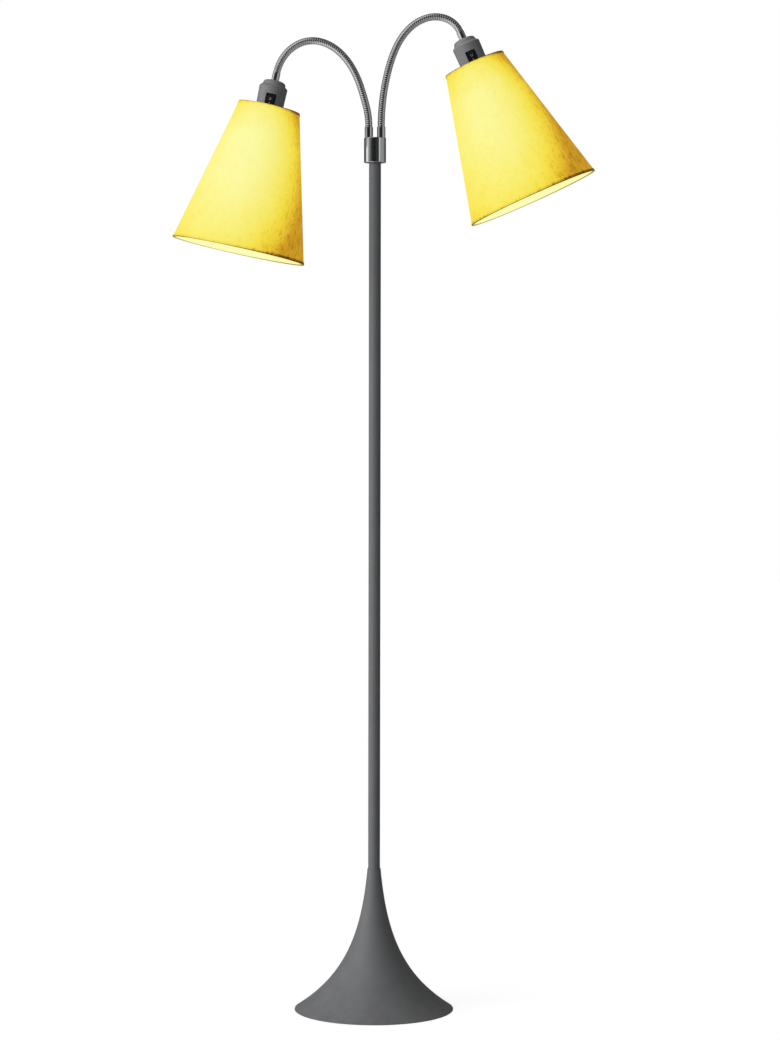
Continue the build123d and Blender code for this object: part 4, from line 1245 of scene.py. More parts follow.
@dataclass
class Gooseneck:
    """Wound metal hose on a line of eight arcs, in pieces that each span one joint."""

    side: Side
    link: float = 30.7
    foot_x: float = 9.3
    foot_z: float = 1330.6
    crest_r: float = 5.4
    root_r: float = 4.92
    plain_r: float = 5.0
    pitch: float = 3.3
    sharpness: float = 8.0
    end_run: float = 3.0
    head_gap: float = 11.5
    columns: int = 44
    turn_rows: int = 12
    least_rows: int = 8

    def length(self) -> float:
        """Length of the winding."""
        return LINKS * self.link

    def line(self, s: np.ndarray) -> tuple[np.ndarray, np.ndarray, np.ndarray]:
        """The hose's centre line.

        Each link is an arc with a steady turn, so the chord from its start to a length s along
        it is s times sinc of half the turn so far, and points half that turn further on. Past
        either end the line runs straight on.

        Args:
            s: Lengths along the line from the coupler's ferrule.

        Returns:
            X, Z and the heading in radians from upright, outwards.
        """
        bends = self.side.bends
        turns = np.radians(np.append(bends, 180.0 - self.side.tilt - sum(bends)))
        heads = np.append(0.0, np.cumsum(turns))
        chords = self.link * np.sinc(turns / FULL_TURN)
        middles = heads[:-1] + turns / 2
        xs = self.foot_x + np.append(0.0, np.cumsum(chords * np.sin(middles)))
        zs = self.foot_z + np.append(0.0, np.cumsum(chords * np.cos(middles)))
        k = np.clip(np.floor(s / self.link).astype(int), 0, len(turns) - 1)
        along = np.clip(s - k * self.link, 0.0, self.link)
        bend = turns[k] * along / self.link
        chord = along * np.sinc(bend / FULL_TURN)
        over = s - k * self.link - along
        heading = heads[k] + bend
        x = xs[k] + chord * np.sin(heads[k] + bend / 2) + over * np.sin(heading)
        z = zs[k] + chord * np.cos(heads[k] + bend / 2) + over * np.cos(heading)
        return self.side.sign * x, z, heading

    def stretch(self, start: float, end: float) -> Skin:
        """Hose between two lengths.

        At a length s and an angle a round the line, the radius is the crest's less a groove
        that is one at the seam of the winding, where s/pitch - a/360 degrees is whole, and
        falls off steeply beside it.

        Args:
            start: First length.
            end: Last length.

        Returns:
            The closed skin, with how deep each point lies in the groove.
        """
        rows = max(self.least_rows, int(round((end - start) / self.pitch * self.turn_rows)))
        s = np.linspace(start, end, rows)
        angle = angles(self.columns)
        phase = np.mod(s[:, None] / self.pitch - angle / FULL_TURN, 1.0)
        groove = np.abs(2.0 * phase - 1.0) ** self.sharpness
        wound = (s > 0.0) & (s < self.length())
        groove = np.where(wound[:, None], groove, 0.0)
        top = np.where(wound, self.crest_r, self.plain_r)[:, None]
        radius = top - (self.crest_r - self.root_r) * groove
        x, z, heading = self.line(s)
        across = np.stack([self.side.sign * np.cos(heading), np.zeros(rows), -np.sin(heading)], -1)
        centre = np.stack([x, np.zeros(rows), z], -1)
        grid = (centre[:, None] + (radius * np.cos(angle))[..., None] * across[:, None]
                + (radius * np.sin(angle))[..., None] * np.array([0.0, 1.0, 0.0]))
        turn = np.linspace(0.0, 1.0, self.columns + 1)
        uv = np.stack(np.broadcast_arrays(turn[None, :], (s * MM)[:, None]), -1)
        return woven(grid, Ends.CLOSED, uv, marks={"groove": groove})

    def head_place(self) -> Place:
        """Where the head's own axes lie: past the hose's end by the ferrule's free length."""
        x, z, _ = self.line(np.array([self.length() + self.head_gap]))
        return Place(float(x[0]), float(z[0]), -self.side.sign * self.side.tilt)

    def build(self) -> None:
        """Make the plain ends and one piece for each joint.
        """
        label, bodies = self.side.label, self.side.bodies()
        half = self.link / 2
        laid(f"gooseneck_{label}_foot", self.stretch(-self.end_run, half), [HOSE_CHROME],
             "stand", "chrome", f"hose_{label}_1")
        for k in range(1, LINKS):
            start, end = k * self.link - half, k * self.link + half
            piece = mesh_piece(f"gooseneck_{label}_{k}", self.stretch(start, end), [HOSE_CHROME])
            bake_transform(piece)
            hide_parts(f"hose_{label}_{k + 1}")
        laid(f"gooseneck_{label}_tip",
             self.stretch(self.length() - half, self.length() + self.end_run), [HOSE_CHROME],
             bodies[-1], "chrome", f"hose_{label}_{LINKS}")


# ---- lampholder ----------------------------------------------------------------------------
@dataclass
class HeadPart:
    """Part of a lamp head, shaped in the head's own axes."""

    side: Side
    place: Place

    def lay(self, name: str, skin: Skin, finishes: Sequence[Finish], slot: str, *nodes: str,
            body: str = "head", cutters: Sequence[Skin] = ()) -> bpy.types.Object:
        """Make a piece of this side's head; every name goes without the side.

        Args:
            name: Name of the piece.
            skin: Its closed surface in the head's own axes.
            finishes: Finishes in the order of the skin's finish numbers.
            slot: Name of the record's material slot; not used.
            nodes: CAD nodes that the piece replaces.
            body: Body that it rides on.
            cutters: Closed skins to take away from it, in the head's own axes.

        Returns:
            The piece.
        """
        label, put = self.side.label, self.place.placed
        return laid(f"{name}_{label}", put(skin), finishes, f"{label}_{body}", slot,
                    *(f"{node}_{label}" for node in nodes), cutters=[put(c) for c in cutters])


@dataclass
class Lampholder(HeadPart):
    """Grey screw holder: ferrule, domed cap, threaded skirt and the shade's ring nut."""

    tip_r: float = 5.8
    tip_out: float = 11.5
    tip_in: float = 8.0
    tip_bore: float = 3.2
    tip_thread_r: float = 4.9
    hose_r: float = 5.05
    hose_stop: float = 4.0
    cap_bore: float = 5.0
    cap_top_r: float = 9.0
    dome_r: float = 16.8
    dome_h: float = 5.0
    dome_bulge: float = 1.05
    neck_r: float = 17.4
    neck_z: float = 7.0
    lip_r: float = 21.3
    lip_z: float = 10.2
    lip_h: float = 1.4
    end_r: float = 20.5
    cap_h: float = 46.0
    wall: float = 2.2
    flat: tuple[float, float, float] = (15.2, 21.2, 0.9)
    flat_out: float = 30.0
    window: tuple[float, float, float] = (12.9, 19.1, 0.3)
    window_in: float = 12.0
    window_out: float = 28.0
    thread_r: float = 19.8
    thread_h: float = 22.0
    thread_pitch: float = 2.2
    thread_depth: float = 0.7
    skirt_h: float = 36.0
    skirt_end_r: float = 18.4
    flange_h: float = 4.0
    plug_r: float = 18.2
    plug_h: float = 3.5
    bulb_r: float = 13.3
    insert_r: float = 15.05
    insert_depth: float = 10.0
    nut_r: float = 27.0
    nut_h: float = 3.0
    nut_neck_r: float = 22.5
    nut_neck_h: float = 4.0
    nut_gap: float = 1.7
    nut_edge: float = 0.4
    grips: int = 12
    grip_r: float = 1.5

    def ferrule(self) -> Skin:
        """Smooth sleeve on the hose's end, threaded into the cap below zero."""
        profile = softened(np.array([
            (self.tip_bore, -self.tip_in), (self.tip_thread_r, -self.tip_in),
            (self.tip_thread_r, 0.0), (self.tip_r, 0.0), (self.tip_r, self.tip_out),
            (self.hose_r, self.tip_out), (self.hose_r, self.hose_stop),
            (self.tip_bore, self.hose_stop)]),
            [0, 0.3, 0, 0.2, 0.45, 0.1, 0, 0], closed=True)
        return lathe(profile, Ends.JOINED, 72)

    def cap(self) -> Skin:
        """Domed cap with a drawn-in neck, a lip and a slow taper, hollow inside."""
        top, edge = np.array([self.cap_top_r, 0.0]), np.array([self.dome_r, -self.dome_h])
        reach = self.dome_bulge * float(np.linalg.norm(edge - top))
        dome = flowing(top, edge, (reach, 0.0), (0.0, -reach), 11)
        lip_end = -(self.lip_z + self.lip_h)
        corners = np.array([
            dome[-1], (self.neck_r, -self.neck_z), (self.lip_r, -self.lip_z),
            (self.lip_r, lip_end), (self.end_r, -self.cap_h),
            (self.end_r - self.wall, -self.cap_h),
            (self.end_r - self.wall, -self.lip_z - self.wall),
            (self.neck_r - self.wall, -self.neck_z - self.wall / 2),
            (self.neck_r - self.wall, -self.dome_h), (self.cap_top_r, -self.wall),
            (self.cap_bore, -self.wall), (self.cap_bore, 0.0), (self.cap_top_r, 0.0)])
        side = softened(corners, [0, 0.9, 0.6, 0.5, 0.35, 0.3, 0, 0, 0, 0, 0.2, 0.2, 0],
                        closed=False)
        return lathe(np.vstack([dome[1:-1], side]), Ends.JOINED, 128)

    def switch_cuts(self) -> list[Skin]:
        """Cutters for the switch's flat and for its window in the cap's wall."""
        flat, window = box_loop(*self.flat), box_loop(*self.window)
        return [tunnel(flat, -SWITCH_Y, -self.flat_out, SWITCH_Z),
                tunnel(window, -self.window_in, -self.window_out, SWITCH_Z)]

    def skirt(self) -> Skin:
        """Threaded lower shell: a plug in the cap, a flange, the ring's thread and an end."""
        top = -self.cap_h
        flange_end = top - self.flange_h
        thread_end = flange_end - self.thread_h
        foot = top - self.skirt_h
        rows = int(self.thread_h / self.thread_pitch * 10)
        zt = np.linspace(flange_end - 0.2, thread_end, rows)
        fade = np.clip(np.minimum(flange_end - 1.0 - zt, zt - thread_end) / 1.2, 0.0, 1.0)
        before = np.array([
            (self.insert_r, top + self.plug_h), (self.plug_r, top + self.plug_h),
            (self.plug_r, top), (self.end_r, top), (self.end_r, flange_end + 0.4),
            (self.end_r - 0.4, flange_end), (self.thread_r, flange_end)])
        after = np.array([
            (self.skirt_end_r, thread_end - 0.1), (self.skirt_end_r, foot + 0.5),
            (self.skirt_end_r - 0.5, foot), (self.bulb_r, foot),
            (self.bulb_r, top - self.insert_depth), (self.insert_r, top - self.insert_depth)])
        thread = np.stack([np.full(rows, self.thread_r), zt], -1)
        profile = np.vstack([before, thread, after])
        depth = np.concatenate([np.zeros(len(before)), fade * self.thread_depth,
                                np.zeros(len(after))])
        return threaded(profile[:, 0], depth, profile[:, 1], self.thread_pitch, 1.5,
                        Ends.JOINED, 96)

    def ring_nut(self) -> Skin:
        """Ring with finger grips: its outer radius dips round at each of twelve places."""
        top = -(self.cap_h + self.flange_h + self.nut_gap)
        angle = angles(240)
        off = np.abs(np.mod(angle * self.grips / FULL_TURN + 0.5, 1.0) - 0.5) * FULL_TURN
        across = off / self.grips * self.nut_r
        dip = np.sqrt(np.clip(self.grip_r**2 - across**2, 0.0, None))
        bore, low, edge = self.thread_r + PLAY, top - self.nut_h, self.nut_edge
        foot = low - self.nut_neck_h
        rows = np.array([
            (bore, top, 0), (self.nut_r - edge, top, 1), (self.nut_r, top - edge, 1),
            (self.nut_r, low + edge, 1), (self.nut_r - edge, low, 1), (self.nut_neck_r, low, 0),
            (self.nut_neck_r, foot + edge, 0), (self.nut_neck_r - edge, foot, 0),
            (bore, foot, 0)])
        radius = rows[:, 0, None] - rows[:, 2, None] * dip
        return woven(turned(radius, rows[:, 1, None], angle), Ends.JOINED)

    def build(self) -> None:
        """Make the holder's four shells, and dress the nut and the contacts inside."""
        label = self.side.label
        self.lay("head_ferrule", self.ferrule(), [CHROME], "chrome", "upper_ferrule")
        self.lay("cap_shell", self.cap(), [GREY_PLASTIC], "grey_plastic", "holder_cap",
                 cutters=self.switch_cuts())
        self.lay("threaded_skirt", self.skirt(), [GREY_PLASTIC], "grey_plastic", "holder_skirt")
        self.lay("shade_nut", self.ring_nut(), [GREY_PLASTIC], "grey_plastic", "ring_nut")
        dress(f"cap_nut_{label}", ZINC)
        dress(f"socket_insert_{label}", CERAMIC)
        dress(f"socket_contacts_{label}", BRASS)


@dataclass
class RockerSwitch(HeadPart):
    """Black rocker switch in the front of the cap, tipped to on, with its two marks."""

    bezel_w: float = 15.0
    bezel_l: float = 21.0
    bezel_t: float = 1.4
    corner: float = 0.8
    body_w: float = 12.8
    body_l: float = 19.0
    body_d: float = 11.0
    pin_depth: float = 3.0
    rocker_w: float = 9.4
    rocker_r: float = 8.4
    back: float = 1.6
    gap: float = 0.2
    well_d: float = 3.1
    throw: float = 18.0
    mark_z: float = 3.1
    mark_r: float = 1.6
    mark_line: float = 0.5
    mark_t: float = 0.1

    def front(self) -> float:
        """Depth of the bezel's face."""
        return -(SWITCH_Y + self.bezel_t)

    def lean(self) -> float:
        """Angle of each half of the face off the pin's plane: half the throw, in radians."""
        return math.radians(self.throw / 2)

    def pin(self) -> np.ndarray:
        """Middle of the rocker's pin."""
        return np.array([0.0, self.front() + self.pin_depth, SWITCH_Z])

    def housing(self) -> Skin:
        """Body, bezel and well as one cup: loops from the body's back to the well's floor."""
        front = self.front()
        well_w = self.rocker_w + 2 * self.gap
        mouth = 2 * math.sqrt((self.rocker_r + self.gap) ** 2 - self.pin_depth**2)
        middle = front + self.pin_depth
        widest = 2 * (self.rocker_r + self.gap)
        loops = [
            (self.body_w, self.body_l, 0.3, -SWITCH_Y + self.body_d),
            (self.body_w, self.body_l, 0.3, -SWITCH_Y),
            (self.bezel_w, self.bezel_l, self.corner, -SWITCH_Y),
            (self.bezel_w, self.bezel_l, self.corner, front + 0.45),
            (self.bezel_w - 0.25, self.bezel_l - 0.25, self.corner, front + 0.13),
            (self.bezel_w - 0.8, self.bezel_l - 0.8, self.corner, front),
            (well_w + 0.6, mouth + 0.6, 0.5, front),
            (well_w + 0.15, mouth + 0.15, 0.4, front + 0.1),
            (well_w, mouth, 0.3, front + 0.4),
            (well_w, widest, 0.3, middle),
            (well_w, widest, 0.3, middle + self.well_d),
        ]
        return lofted([facing(box_loop(w, h, c), y, SWITCH_Z) for w, h, c, y in loops])

    def tipped(self, local: np.ndarray) -> np.ndarray:
        """Points about the pin turned to on, by half the throw about X."""
        c, s = math.cos(self.lean()), math.sin(self.lean())
        turn = np.array([[1.0, 0.0, 0.0], [0.0, c, -s], [0.0, s, c]])
        return local @ turn.T + self.pin()

    def paddle(self) -> Skin:
        """Rocker: a shallow V face and round ends about the pin, carried along X.

        Its sides shrink a little towards the middle over the last 0.4 mm, which rounds them.
        """
        lean = math.tan(self.lean())
        a = 1.0 + lean**2
        b = 2 * self.pin_depth * lean
        tip = (-b + math.sqrt(b * b - 4 * a * (self.pin_depth**2 - self.rocker_r**2))) / (2 * a)
        start = math.atan2(tip, -(self.pin_depth + lean * tip))
        end = math.acos(self.back / self.rocker_r)
        bow = np.linspace(start, end, 9)
        half = np.stack([self.rocker_r * np.cos(bow), self.rocker_r * np.sin(bow)], -1)
        corners = np.vstack([[(-self.pin_depth, 0.0)], half, half[::-1] * [1.0, -1.0]])
        loop = softened(corners, [1.2, 0.5, *[0.0] * (2 * len(half) - 2), 0.5], closed=True)
        middle = loop.mean(0)
        x = np.array([-1.0, -0.985, -0.95, -0.9, 0.0, 0.9, 0.95, 0.985, 1.0]) * self.rocker_w / 2
        shrink = np.array([0.93, 0.965, 0.99, 1.0, 1.0, 1.0, 0.99, 0.965, 0.93])
        flat = middle + (loop - middle) * shrink[:, None, None]
        grid = np.concatenate([np.broadcast_to(x[:, None, None], (*flat.shape[:2], 1)), flat], -1)
        skin = woven(grid, Ends.CLOSED)
        return skin.moved(self.tipped(skin.points))

    def marks(self) -> Skin:
        """Printed ring above the V and bar below it, a tenth of a millimetre thick."""
        lean, thick = self.lean(), self.mark_t / 2
        inner = self.mark_r - self.mark_line
        ring = lathe(np.array([(inner, -thick), (self.mark_r, -thick), (self.mark_r, thick),
                               (inner, thick)]), Ends.JOINED, 40)
        loop = box_loop(self.mark_line, 2 * self.mark_r, 0.1, 4)
        level = np.full((len(loop), 1), thick)
        line = lofted([np.hstack([loop, -level]), np.hstack([loop, level])])
        skins = []
        for sign, mark in ((1.0, ring), (-1.0, line)):
            along = np.array([0.0, -math.sin(lean) * sign, math.cos(lean)])
            out = np.array([0.0, -math.cos(lean), -math.sin(lean) * sign])
            centre = np.array([0.0, -self.pin_depth - math.tan(lean) * self.mark_z,
                               sign * self.mark_z])
            across = np.array([1.0, 0.0, 0.0])
            p = mark.points
            spots = centre + p[:, :1] * across + p[:, 1:2] * along + p[:, 2:] * out
            skins.append(mark.moved(self.tipped(spots)).outward())
        return gathered(*skins)

    def build(self) -> None:
        """Make the housing on the head, and the rocker with its marks on its own body."""
        self.lay("switch_bezel", self.housing(), [BLACK_PLASTIC], "black_plastic",
                 "switch_housing")
        self.lay("switch_rocker", self.paddle(), [BLACK_PLASTIC], "black_plastic", "rocker",
                 body="rocker")
        self.lay("switch_marks", self.marks(), [MARK_PRINT], "black_plastic", body="rocker")


@dataclass
class Bulb(HeadPart):
    """Screw-cap bulb with a pear-shaped opal envelope."""

    tip_z: float = -59.0
    tip_r: float = 4.6
    tip_h: float = 4.0
    screw_r: float = 13.2
    screw_end: float = -86.0
    neck_r: float = 12.9
    radius: float = 30.0
    centre_z: float = -136.0
    thread_pitch: float = 3.6
    thread_depth: float = 0.75
    neck_pull: float = 0.9
    wide_pull: float = 1.3

    def screw_cap(self) -> Skin:
        """Rolled screw thread under a tapered insulator and a contact tip."""
        top = self.tip_z - self.tip_h
        z = np.linspace(top - 0.5, self.screw_end, 64)
        depth = self.thread_depth * np.clip((top - 1.0 - z) / 2.0, 0.0, 1.0)
        depth *= np.clip((z - self.screw_end - 3.0) / 1.5, 0.0, 1.0)
        tip = np.array([
            (1.5, self.tip_z), (self.tip_r, self.tip_z), (self.tip_r + 0.2, self.tip_z - 0.5),
            (9.5, top + 0.8), (self.screw_r - 0.5, top + 0.1)])
        profile = np.vstack([tip, np.stack([np.full_like(z, self.screw_r), z], -1)])
        return threaded(profile[:, 0], np.append(np.zeros(len(tip)), depth), profile[:, 1],
                        self.thread_pitch, 1.0, Ends.CLOSED, 72)

    def envelope(self) -> Skin:
        """Glass: a flowing side from the neck to the widest circle, and a round end.

        The side is a cubic that leaves the neck and reaches the widest circle straight down.
        """
        neck = np.array([self.neck_r, self.screw_end])
        wide = np.array([self.radius, self.centre_z])
        reach = float(np.linalg.norm(wide - neck))
        side = flowing(neck, wide, (0.0, -self.neck_pull * reach),
                       (0.0, -self.wide_pull * reach), 28)
        bow = np.linspace(0.0, math.pi / 2, 26)[1:-1]
        end = np.stack([self.radius * np.cos(bow), self.centre_z - self.radius * np.sin(bow)], -1)
        profile = np.vstack([side, end])
        tips = np.array([[0.0, 0.0, self.screw_end], [0.0, 0.0, self.centre_z - self.radius]])
        return woven(turned(profile[:, 0, None], profile[:, 1, None], angles(96)), Ends.CLOSED,
                     tips=tips)

    def build(self) -> None:
        """Make the screw cap and the glass."""
        self.lay("screw_cap", self.screw_cap(), [NICKEL], "nickel", "bulb_cap")
        keep_to_camera(self.lay("bulb_envelope", self.envelope(), [OPAL], "opal_glass",
                                "bulb_glass"))


@dataclass
class PaperShade(HeadPart):
    """Cone of hand-made paper with a folded strip round each rim, on a wire spider."""

    drop: float = 40.5
    top_r: float = 46.2
    end_r: float = 100.5
    height: float = 220.0
    paper: float = 1.0
    inside: float = -0.5
    seat: float = 0.1
    band_t: float = 0.5
    band_h: float = 4.0
    wire_r: float = 1.5
    lap: float = 0.35
    lap_width: float = 9.0
    rim_line: float = 1.2
    rim_run: float = 9.0
    washer_z: float = -51.6
    washer_t: float = 1.6
    washer_r: float = 25.0
    washer_bore: float = 19.9
    arms: int = 3
    columns: int = 168
    bright_z: float = -106.0
    bright_x: float = -0.25
    bright_x_foot: float = -0.415
    fall_up: float = 7.5e-5
    fall_down: float = 1.55e-5
    fall_across: float = 0.44
    least: float = 0.1

    def radius(self, down: np.ndarray | float) -> np.ndarray | float:
        """Outside radius of the cone at a distance below its top rim."""
        return self.top_r + (self.end_r - self.top_r) * down / self.height

    def lean(self) -> float:
        """Half angle of the cone."""
        return math.atan((self.end_r - self.top_r) / self.height)

    def lit(self, points: np.ndarray) -> np.ndarray:
        """How brightly the bulb and the room light each point of the paper, 0 to 1.

        It is the bulb's own light less a square of the distance along the axis from the
        brightest height, steeper above it than below, and less a square of how far the point
        lies round the cone from the brightest line, which stands left of the middle and moves
        further left towards the foot.

        Args:
            points: Points in the head's own axes, millimetres.

        Returns:
            One value for each point.
        """
        down = -self.drop - points[..., 2]
        round_x = points[..., 0] / np.maximum(self.radius(down), 1.0)
        share = np.clip(down / self.height, 0.0, 1.0)
        centre = self.bright_x + (self.bright_x_foot - self.bright_x) * share
        above = points[..., 2] - self.bright_z
        along = np.where(above > 0.0, self.fall_up, self.fall_down) * above**2
        across = self.fall_across * (round_x - centre) ** 2
        return np.clip(self.side.bulb_light - along - across, self.least, 1.0)

    def strip(self, outline: np.ndarray, finish: np.ndarray | int) -> Skin:
        """Ring with a closed outline of (distance below the rim, offset from the outside).

        Its first column is at the back, where the paper's lap lies: the last millimetres of
        the angle before the seam stand out by the lap. The texture is the cone's flat
        pattern, a fan about its apex whose angle is the cone's angle times the sine of the
        half angle, so the paper's fibres run as they do on a sheet that was cut and rolled.

        Args:
            outline: Rows of the ring's cross-section.
            finish: Material number, or one for each band.

        Returns:
            The closed skin with its lit values, which are more even inside, and with how near
            each point lies to a rim.
        """
        turn = np.linspace(0.0, FULL_TURN, self.columns + 1)
        down, offset = outline[:, 0, None], outline[:, 1, None]
        around = turn[None, :-1] + math.pi / 2
        base = self.radius(down)
        arc = turn[None, :-1] * base
        lapped = np.clip(self.lap_width - arc, 0.0, 1.0) * np.where(offset > self.inside, 1, 0)
        r = base + offset / math.cos(self.lean()) + self.lap * lapped
        grid = turned(r, -self.drop - down, around)
        closed = np.vstack([outline, outline[:1]])
        slant = self.radius(closed[:, 0, None]) / math.sin(self.lean())
        fan = (turn[None, :] - math.pi) * math.sin(self.lean())
        uv = np.stack([slant * np.sin(fan), -slant * np.cos(fan)], -1) * MM
        to_rim = np.minimum(down, self.height - down)
        rim = np.clip(1.3 - to_rim / self.rim_line, 0.0, 1.0) * np.ones_like(r)
        lit = self.lit(grid)
        lit = np.where(offset < self.inside, 0.5 + 0.5 * lit, lit)
        return woven(grid, Ends.JOINED, uv, finish, {"lit": lit, "rim": rim})

    def cone(self) -> Skin:
        """Paper cone between its two rims, outside and inside with a finish each."""
        down = np.linspace(self.rim_run, self.height - self.rim_run, 28)
        down = np.concatenate([[0.5, 2.5], down, [self.height - 2.5, self.height - 0.5]])
        outer = np.stack([down, np.zeros_like(down)], -1)
        inner = np.stack([down[::-1], np.full_like(down, -self.paper)], -1)
        return self.strip(np.vstack([outer, inner]), np.repeat([0, 1], len(down)))

    def band(self, at_top: bool) -> Skin:
        """Folded strip over a rim: outside, round the edge, and round the wire inside.

        Args:
            at_top: Whether it is the top rim's.

        Returns:
            The closed skin of the strip.
        """
        out = self.seat + self.band_t
        wire = self.paper + 2 * self.wire_r + self.seat
        fold = softened(np.array([
            (self.band_h, out), (1.6, out), (0.8, out), (0.0, out), (0.0, -self.paper - 0.9),
            (1.5, -wire - 0.2), (3.6, -wire - 0.2), (5.2, -wire + 1.0),
            (6.4, -self.paper - 0.6), (6.4, -self.paper - 0.08), (0.5, -self.paper - 0.08),
            (0.5, self.seat), (self.band_h, self.seat)]),
            [0.2, 0, 0, 0.45, 0.6, 0.8, 0.8, 0.7, 0.2, 0, 0, 0, 0.1], closed=True, steps=3)
        if not at_top:
            fold = np.stack([self.height - fold[:, 0], fold[:, 1]], -1)[::-1]
        middle = (fold[:, 1] + np.roll(fold[:, 1], -1)) / 2
        return self.strip(fold, np.where(middle < -0.4, 1, 0))

    def wire_middle(self, down: float) -> float:
        """Radius of a wire's middle where it rests against the paper's inside."""
        return self.radius(down) - self.paper - (self.wire_r + self.seat) / math.cos(self.lean())

    def wire_ring(self, down: float) -> Skin:
        """Round wire ring that rests against the paper's inside."""
        bow = angles(18)
        profile = np.stack([self.wire_middle(down) + self.wire_r * np.cos(bow),
                            -self.drop - down + self.wire_r * np.sin(bow)], -1)
        return lathe(profile, Ends.JOINED, self.columns)

    def spider(self) -> Skin:
        """Washer for the holder, three arms and the top rim wire."""
        z = self.washer_z
        washer = lathe(softened(np.array([
            (self.washer_bore, z), (self.washer_r, z), (self.washer_r, z + self.washer_t),
            (self.washer_bore, z + self.washer_t)]), [0.2] * 4, closed=True), Ends.JOINED, 96)
        down = 2 * self.wire_r
        rays = [np.array([math.cos(a), math.sin(a), 0.0])
                for a in math.pi / 2 + angles(self.arms)]
        arms = [bar(ray * (self.washer_r - self.wire_r) + UP * (z + self.wire_r + self.seat),
                    ray * self.wire_middle(down) + UP * (-self.drop - down), self.wire_r)
                for ray in rays]
        return gathered(washer, *arms, self.wire_ring(down))

    def build(self) -> None:
        """Make the cone, its two folded strips, the spider and the foot wire."""
        cone = self.lay("paper_cone", self.cone(), [PAPER_OUT, PAPER_IN], "yellow_paper",
                        "shade_shell")
        bands = self.lay("paper_strips", gathered(self.band(True), self.band(False)),
                         [PAPER_BAND, PAPER_IN], "yellow_paper", "shade_bands")
        keep_to_camera(cone, bands)
        self.lay("wire_spider", self.spider(), [ZINC], "zinc_steel", "shade_spider")
        self.lay("foot_wire", self.wire_ring(self.height - 2 * self.wire_r), [ZINC],
                 "zinc_steel", "shade_foot_wire")


# ---- studio --------------------------------------------------------------------------------
@dataclass(frozen=True)
class Sun:
    """A soft sun: degrees right of the camera's side and above the floor, power and width."""

    name: str
    azimuth: float
    elevation: float
    strength: float
    angle: float


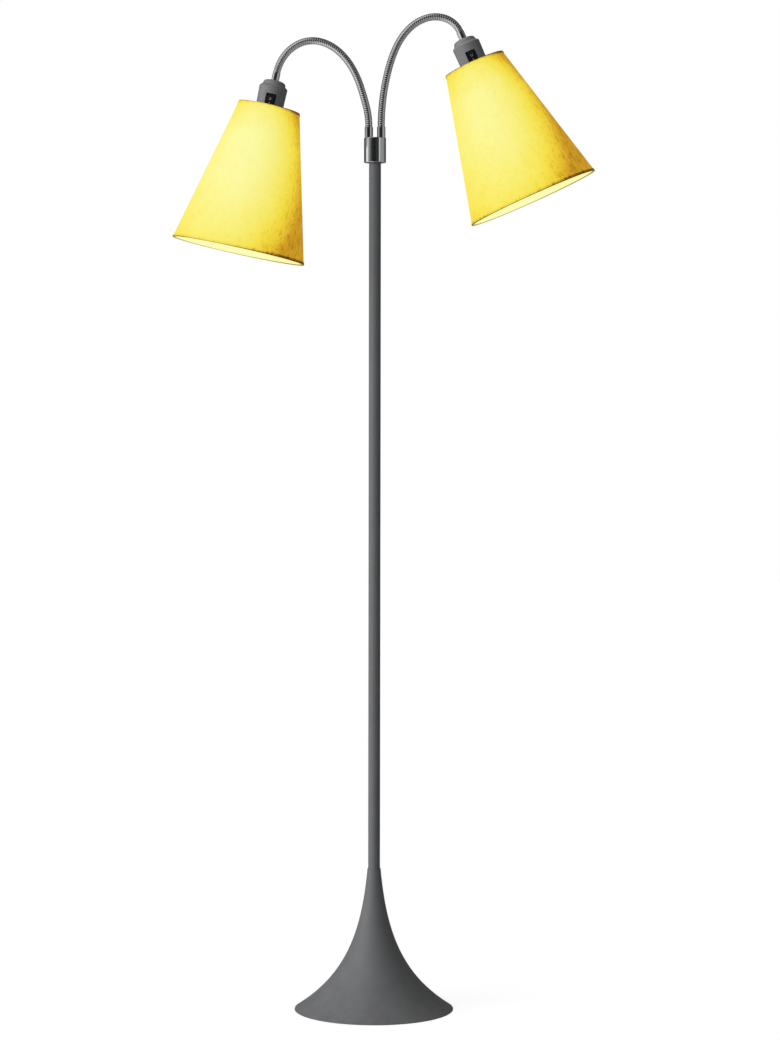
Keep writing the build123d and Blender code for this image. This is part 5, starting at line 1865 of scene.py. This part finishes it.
@dataclass
class Studio:
    """Pale floor, soft light, surroundings for the chrome, and the camera."""

    floor_half: float = 12.0
    floor_albedo: float = 0.30
    floor_glow: float = 0.87
    high_from: tuple[float, float] = (0.3, 0.45)
    ambient: float = 0.21
    suns: tuple[Sun, ...] = (Sun("key", -60.0, 15.0, 2.47, 50.0),
                             Sun("back_fill", 180.0, 20.0, 0.25, 40.0),
                             Sun("top_fill", 0.0, 80.0, 0.1, 60.0))
    camera_at: tuple[float, float, float] = (0.0231, -4.2, 0.8729)
    camera_pitch: float = -1.7998
    camera_roll: float = -0.0874
    focal_pixels: float = 2790.0
    long_side: float = 1040.0
    sensor: float = 36.0
    reflect: Tones = (
        (-180, 0.05), (-130, 0.06), (-114, 0.1), (-106, 0.7), (-92, 1.0), (-78, 0.9),
        (-73, 0.34), (-60, 0.27), (-50, 0.15), (-40, 0.055), (-20, 0.017), (5, 0.017),
        (15, 0.04), (41, 0.04), (46, 0.85), (54, 0.45), (62, 0.31), (80, 0.31), (95, 0.34),
        (110, 0.2), (130, 0.06), (180, 0.05))
    reflect_high: Tones = (
        (-180, 0.06), (-120, 0.2), (-90, 0.35), (-62, 0.85), (-32, 0.7), (-10, 0.18), (8, 0.08),
        (20, 0.02), (45, 0.03), (75, 0.12), (100, 0.14), (180, 0.06))
    reflect_floor: Tones = (
        (-180, 0.1), (-120, 0.4), (-90, 0.55), (-58, 0.9), (-28, 0.65), (-8, 0.14), (8, 0.08),
        (20, 0.03), (42, 0.06), (70, 0.2), (100, 0.2), (180, 0.1))

    def floor(self) -> None:
        """Wide flat floor: white to the camera, toned to gloss, and clear from below."""
        half = self.floor_half
        mesh = bpy.data.meshes.new("floor")
        corners = [(-half, -half, 0.0), (half, -half, 0.0), (half, half, 0.0), (-half, half, 0.0)]
        mesh.from_pydata(corners, [], [(0, 1, 2, 3)])
        material = bpy.data.materials.new("floor_white")
        material.use_nodes = True
        sheet = Sheet(material.node_tree)
        sheet.tree.nodes.remove(sheet.tree.nodes["Principled BSDF"])
        path = sheet.add("LightPath")
        mirrored = self.panels(sheet, sheet.place(), self.reflect_floor)
        colour = sheet.blend(path.outputs["Is Glossy Ray"], WHITE, mirrored)
        seen = sheet.sum("MAXIMUM", path.outputs["Is Camera Ray"], path.outputs["Is Glossy Ray"])
        glow = sheet.add("Emission", {"Color": colour, "Strength": sheet.sum(
            "MULTIPLY", seen, self.floor_glow)})
        matt = sheet.add("BsdfDiffuse", {"Color": grey(self.floor_albedo)})
        both = sheet.add("AddShader", {0: matt.outputs[0], 1: glow.outputs[0]})
        under = sheet.add("NewGeometry").outputs["Backfacing"]
        clear = sheet.add("BsdfTransparent")
        shown = sheet.add("MixShader", {0: under, 1: both.outputs[0], 2: clear.outputs[0]})
        sheet.feed(sheet.tree.nodes["Material Output"], {"Surface": shown.outputs[0]})
        mesh.materials.append(material)
        floor = bpy.data.objects.new("floor", mesh)
        bpy.context.scene.collection.objects.link(floor)

    @staticmethod
    def panels(sheet: Sheet, direction: Socket, tones: Tones) -> Socket:
        """Tones of the studio's panels: a ramp over the azimuth of a direction.

        Args:
            sheet: Sheet to lay the nodes on.
            direction: Direction or place as seen from the lamp.
            tones: Azimuth in degrees, to the right of the camera's side, and tone.

        Returns:
            The tone's colour.
        """
        parts = sheet.add("SeparateXYZ", {0: direction})
        behind = sheet.sum("MULTIPLY", parts.outputs["Y"], -1.0)
        azimuth = sheet.sum("ARCTAN2", parts.outputs["X"], behind)
        place = sheet.sum("MULTIPLY_ADD", azimuth, 1.0 / FULL_TURN, 0.5)
        return sheet.ramp(place, [(degrees / 360.0 + 0.5, grey(level))
                                  for degrees, level in tones])

    def surroundings(self) -> None:
        """World: white to the camera, soft panels to gloss, and an even ambient to the rest.

        The panels stand round the lamp in two rows, of which the upper has its own tones.
        """
        world = bpy.data.worlds.new("studio")
        bpy.context.scene.world = world
        world.use_nodes = True
        sheet = Sheet(world.node_tree)
        sky = sheet.add("TexCoord").outputs["Generated"]
        up = sheet.add("SeparateXYZ", {0: sky}).outputs["Z"]
        panels = sheet.blend(sheet.remap(up, *self.high_from),
                             self.panels(sheet, sky, self.reflect),
                             self.panels(sheet, sky, self.reflect_high))
        path = sheet.add("LightPath")
        colour = sheet.blend(path.outputs["Is Glossy Ray"], grey(self.ambient), panels)
        seen = sheet.sum("MAXIMUM", path.outputs["Is Camera Ray"],
                         path.outputs["Is Transmission Ray"])
        sheet.feed(sheet.tree.nodes["Background"],
                   {"Color": sheet.blend(seen, colour, WHITE), "Strength": 1.0})

    @staticmethod
    def shine(sun: Sun) -> None:
        """Light the stage with a soft sun that no gloss mirrors."""
        light = bpy.data.lights.new(sun.name, "SUN")
        light.energy, light.angle = sun.strength, math.radians(sun.angle)
        lamp = bpy.data.objects.new(sun.name, light)
        lamp.visible_glossy = False
        lamp.rotation_euler = (math.radians(90.0 - sun.elevation), 0.0, math.radians(sun.azimuth))
        bpy.context.scene.collection.objects.link(lamp)

    def camera(self) -> None:
        """Camera at the photograph's viewing angle."""
        lens = bpy.data.cameras.new("camera")
        lens.sensor_width = self.sensor
        lens.lens = self.sensor * self.focal_pixels / self.long_side
        camera = bpy.data.objects.new("camera", lens)
        camera.location = self.camera_at
        camera.rotation_euler = (math.radians(90.0 + self.camera_pitch),
                                 math.radians(self.camera_roll), 0.0)
        bpy.context.scene.collection.objects.link(camera)
        bpy.context.scene.camera = camera

    def build(self) -> None:
        """Set the whole stage."""
        self.camera()
        self.floor()
        self.surroundings()
        for sun in self.suns:
            self.shine(sun)
        bpy.context.scene.view_settings.view_transform = "Standard"
        log.info("studio set")


def main() -> None:
    """Build the studio and every sub-assembly in order."""
    logging.basicConfig(level=logging.INFO, format="%(name)s: %(message)s")
    Studio().build()
    TrumpetFoot().build()
    Pole().build()
    Coupler().build()
    for side in Side:
        neck = Gooseneck(side)
        neck.build()
        place = neck.head_place()
        for part in (Lampholder, RockerSwitch, Bulb, PaperShade):
            part(side, place).build()


if __name__ == "__main__":
    main()
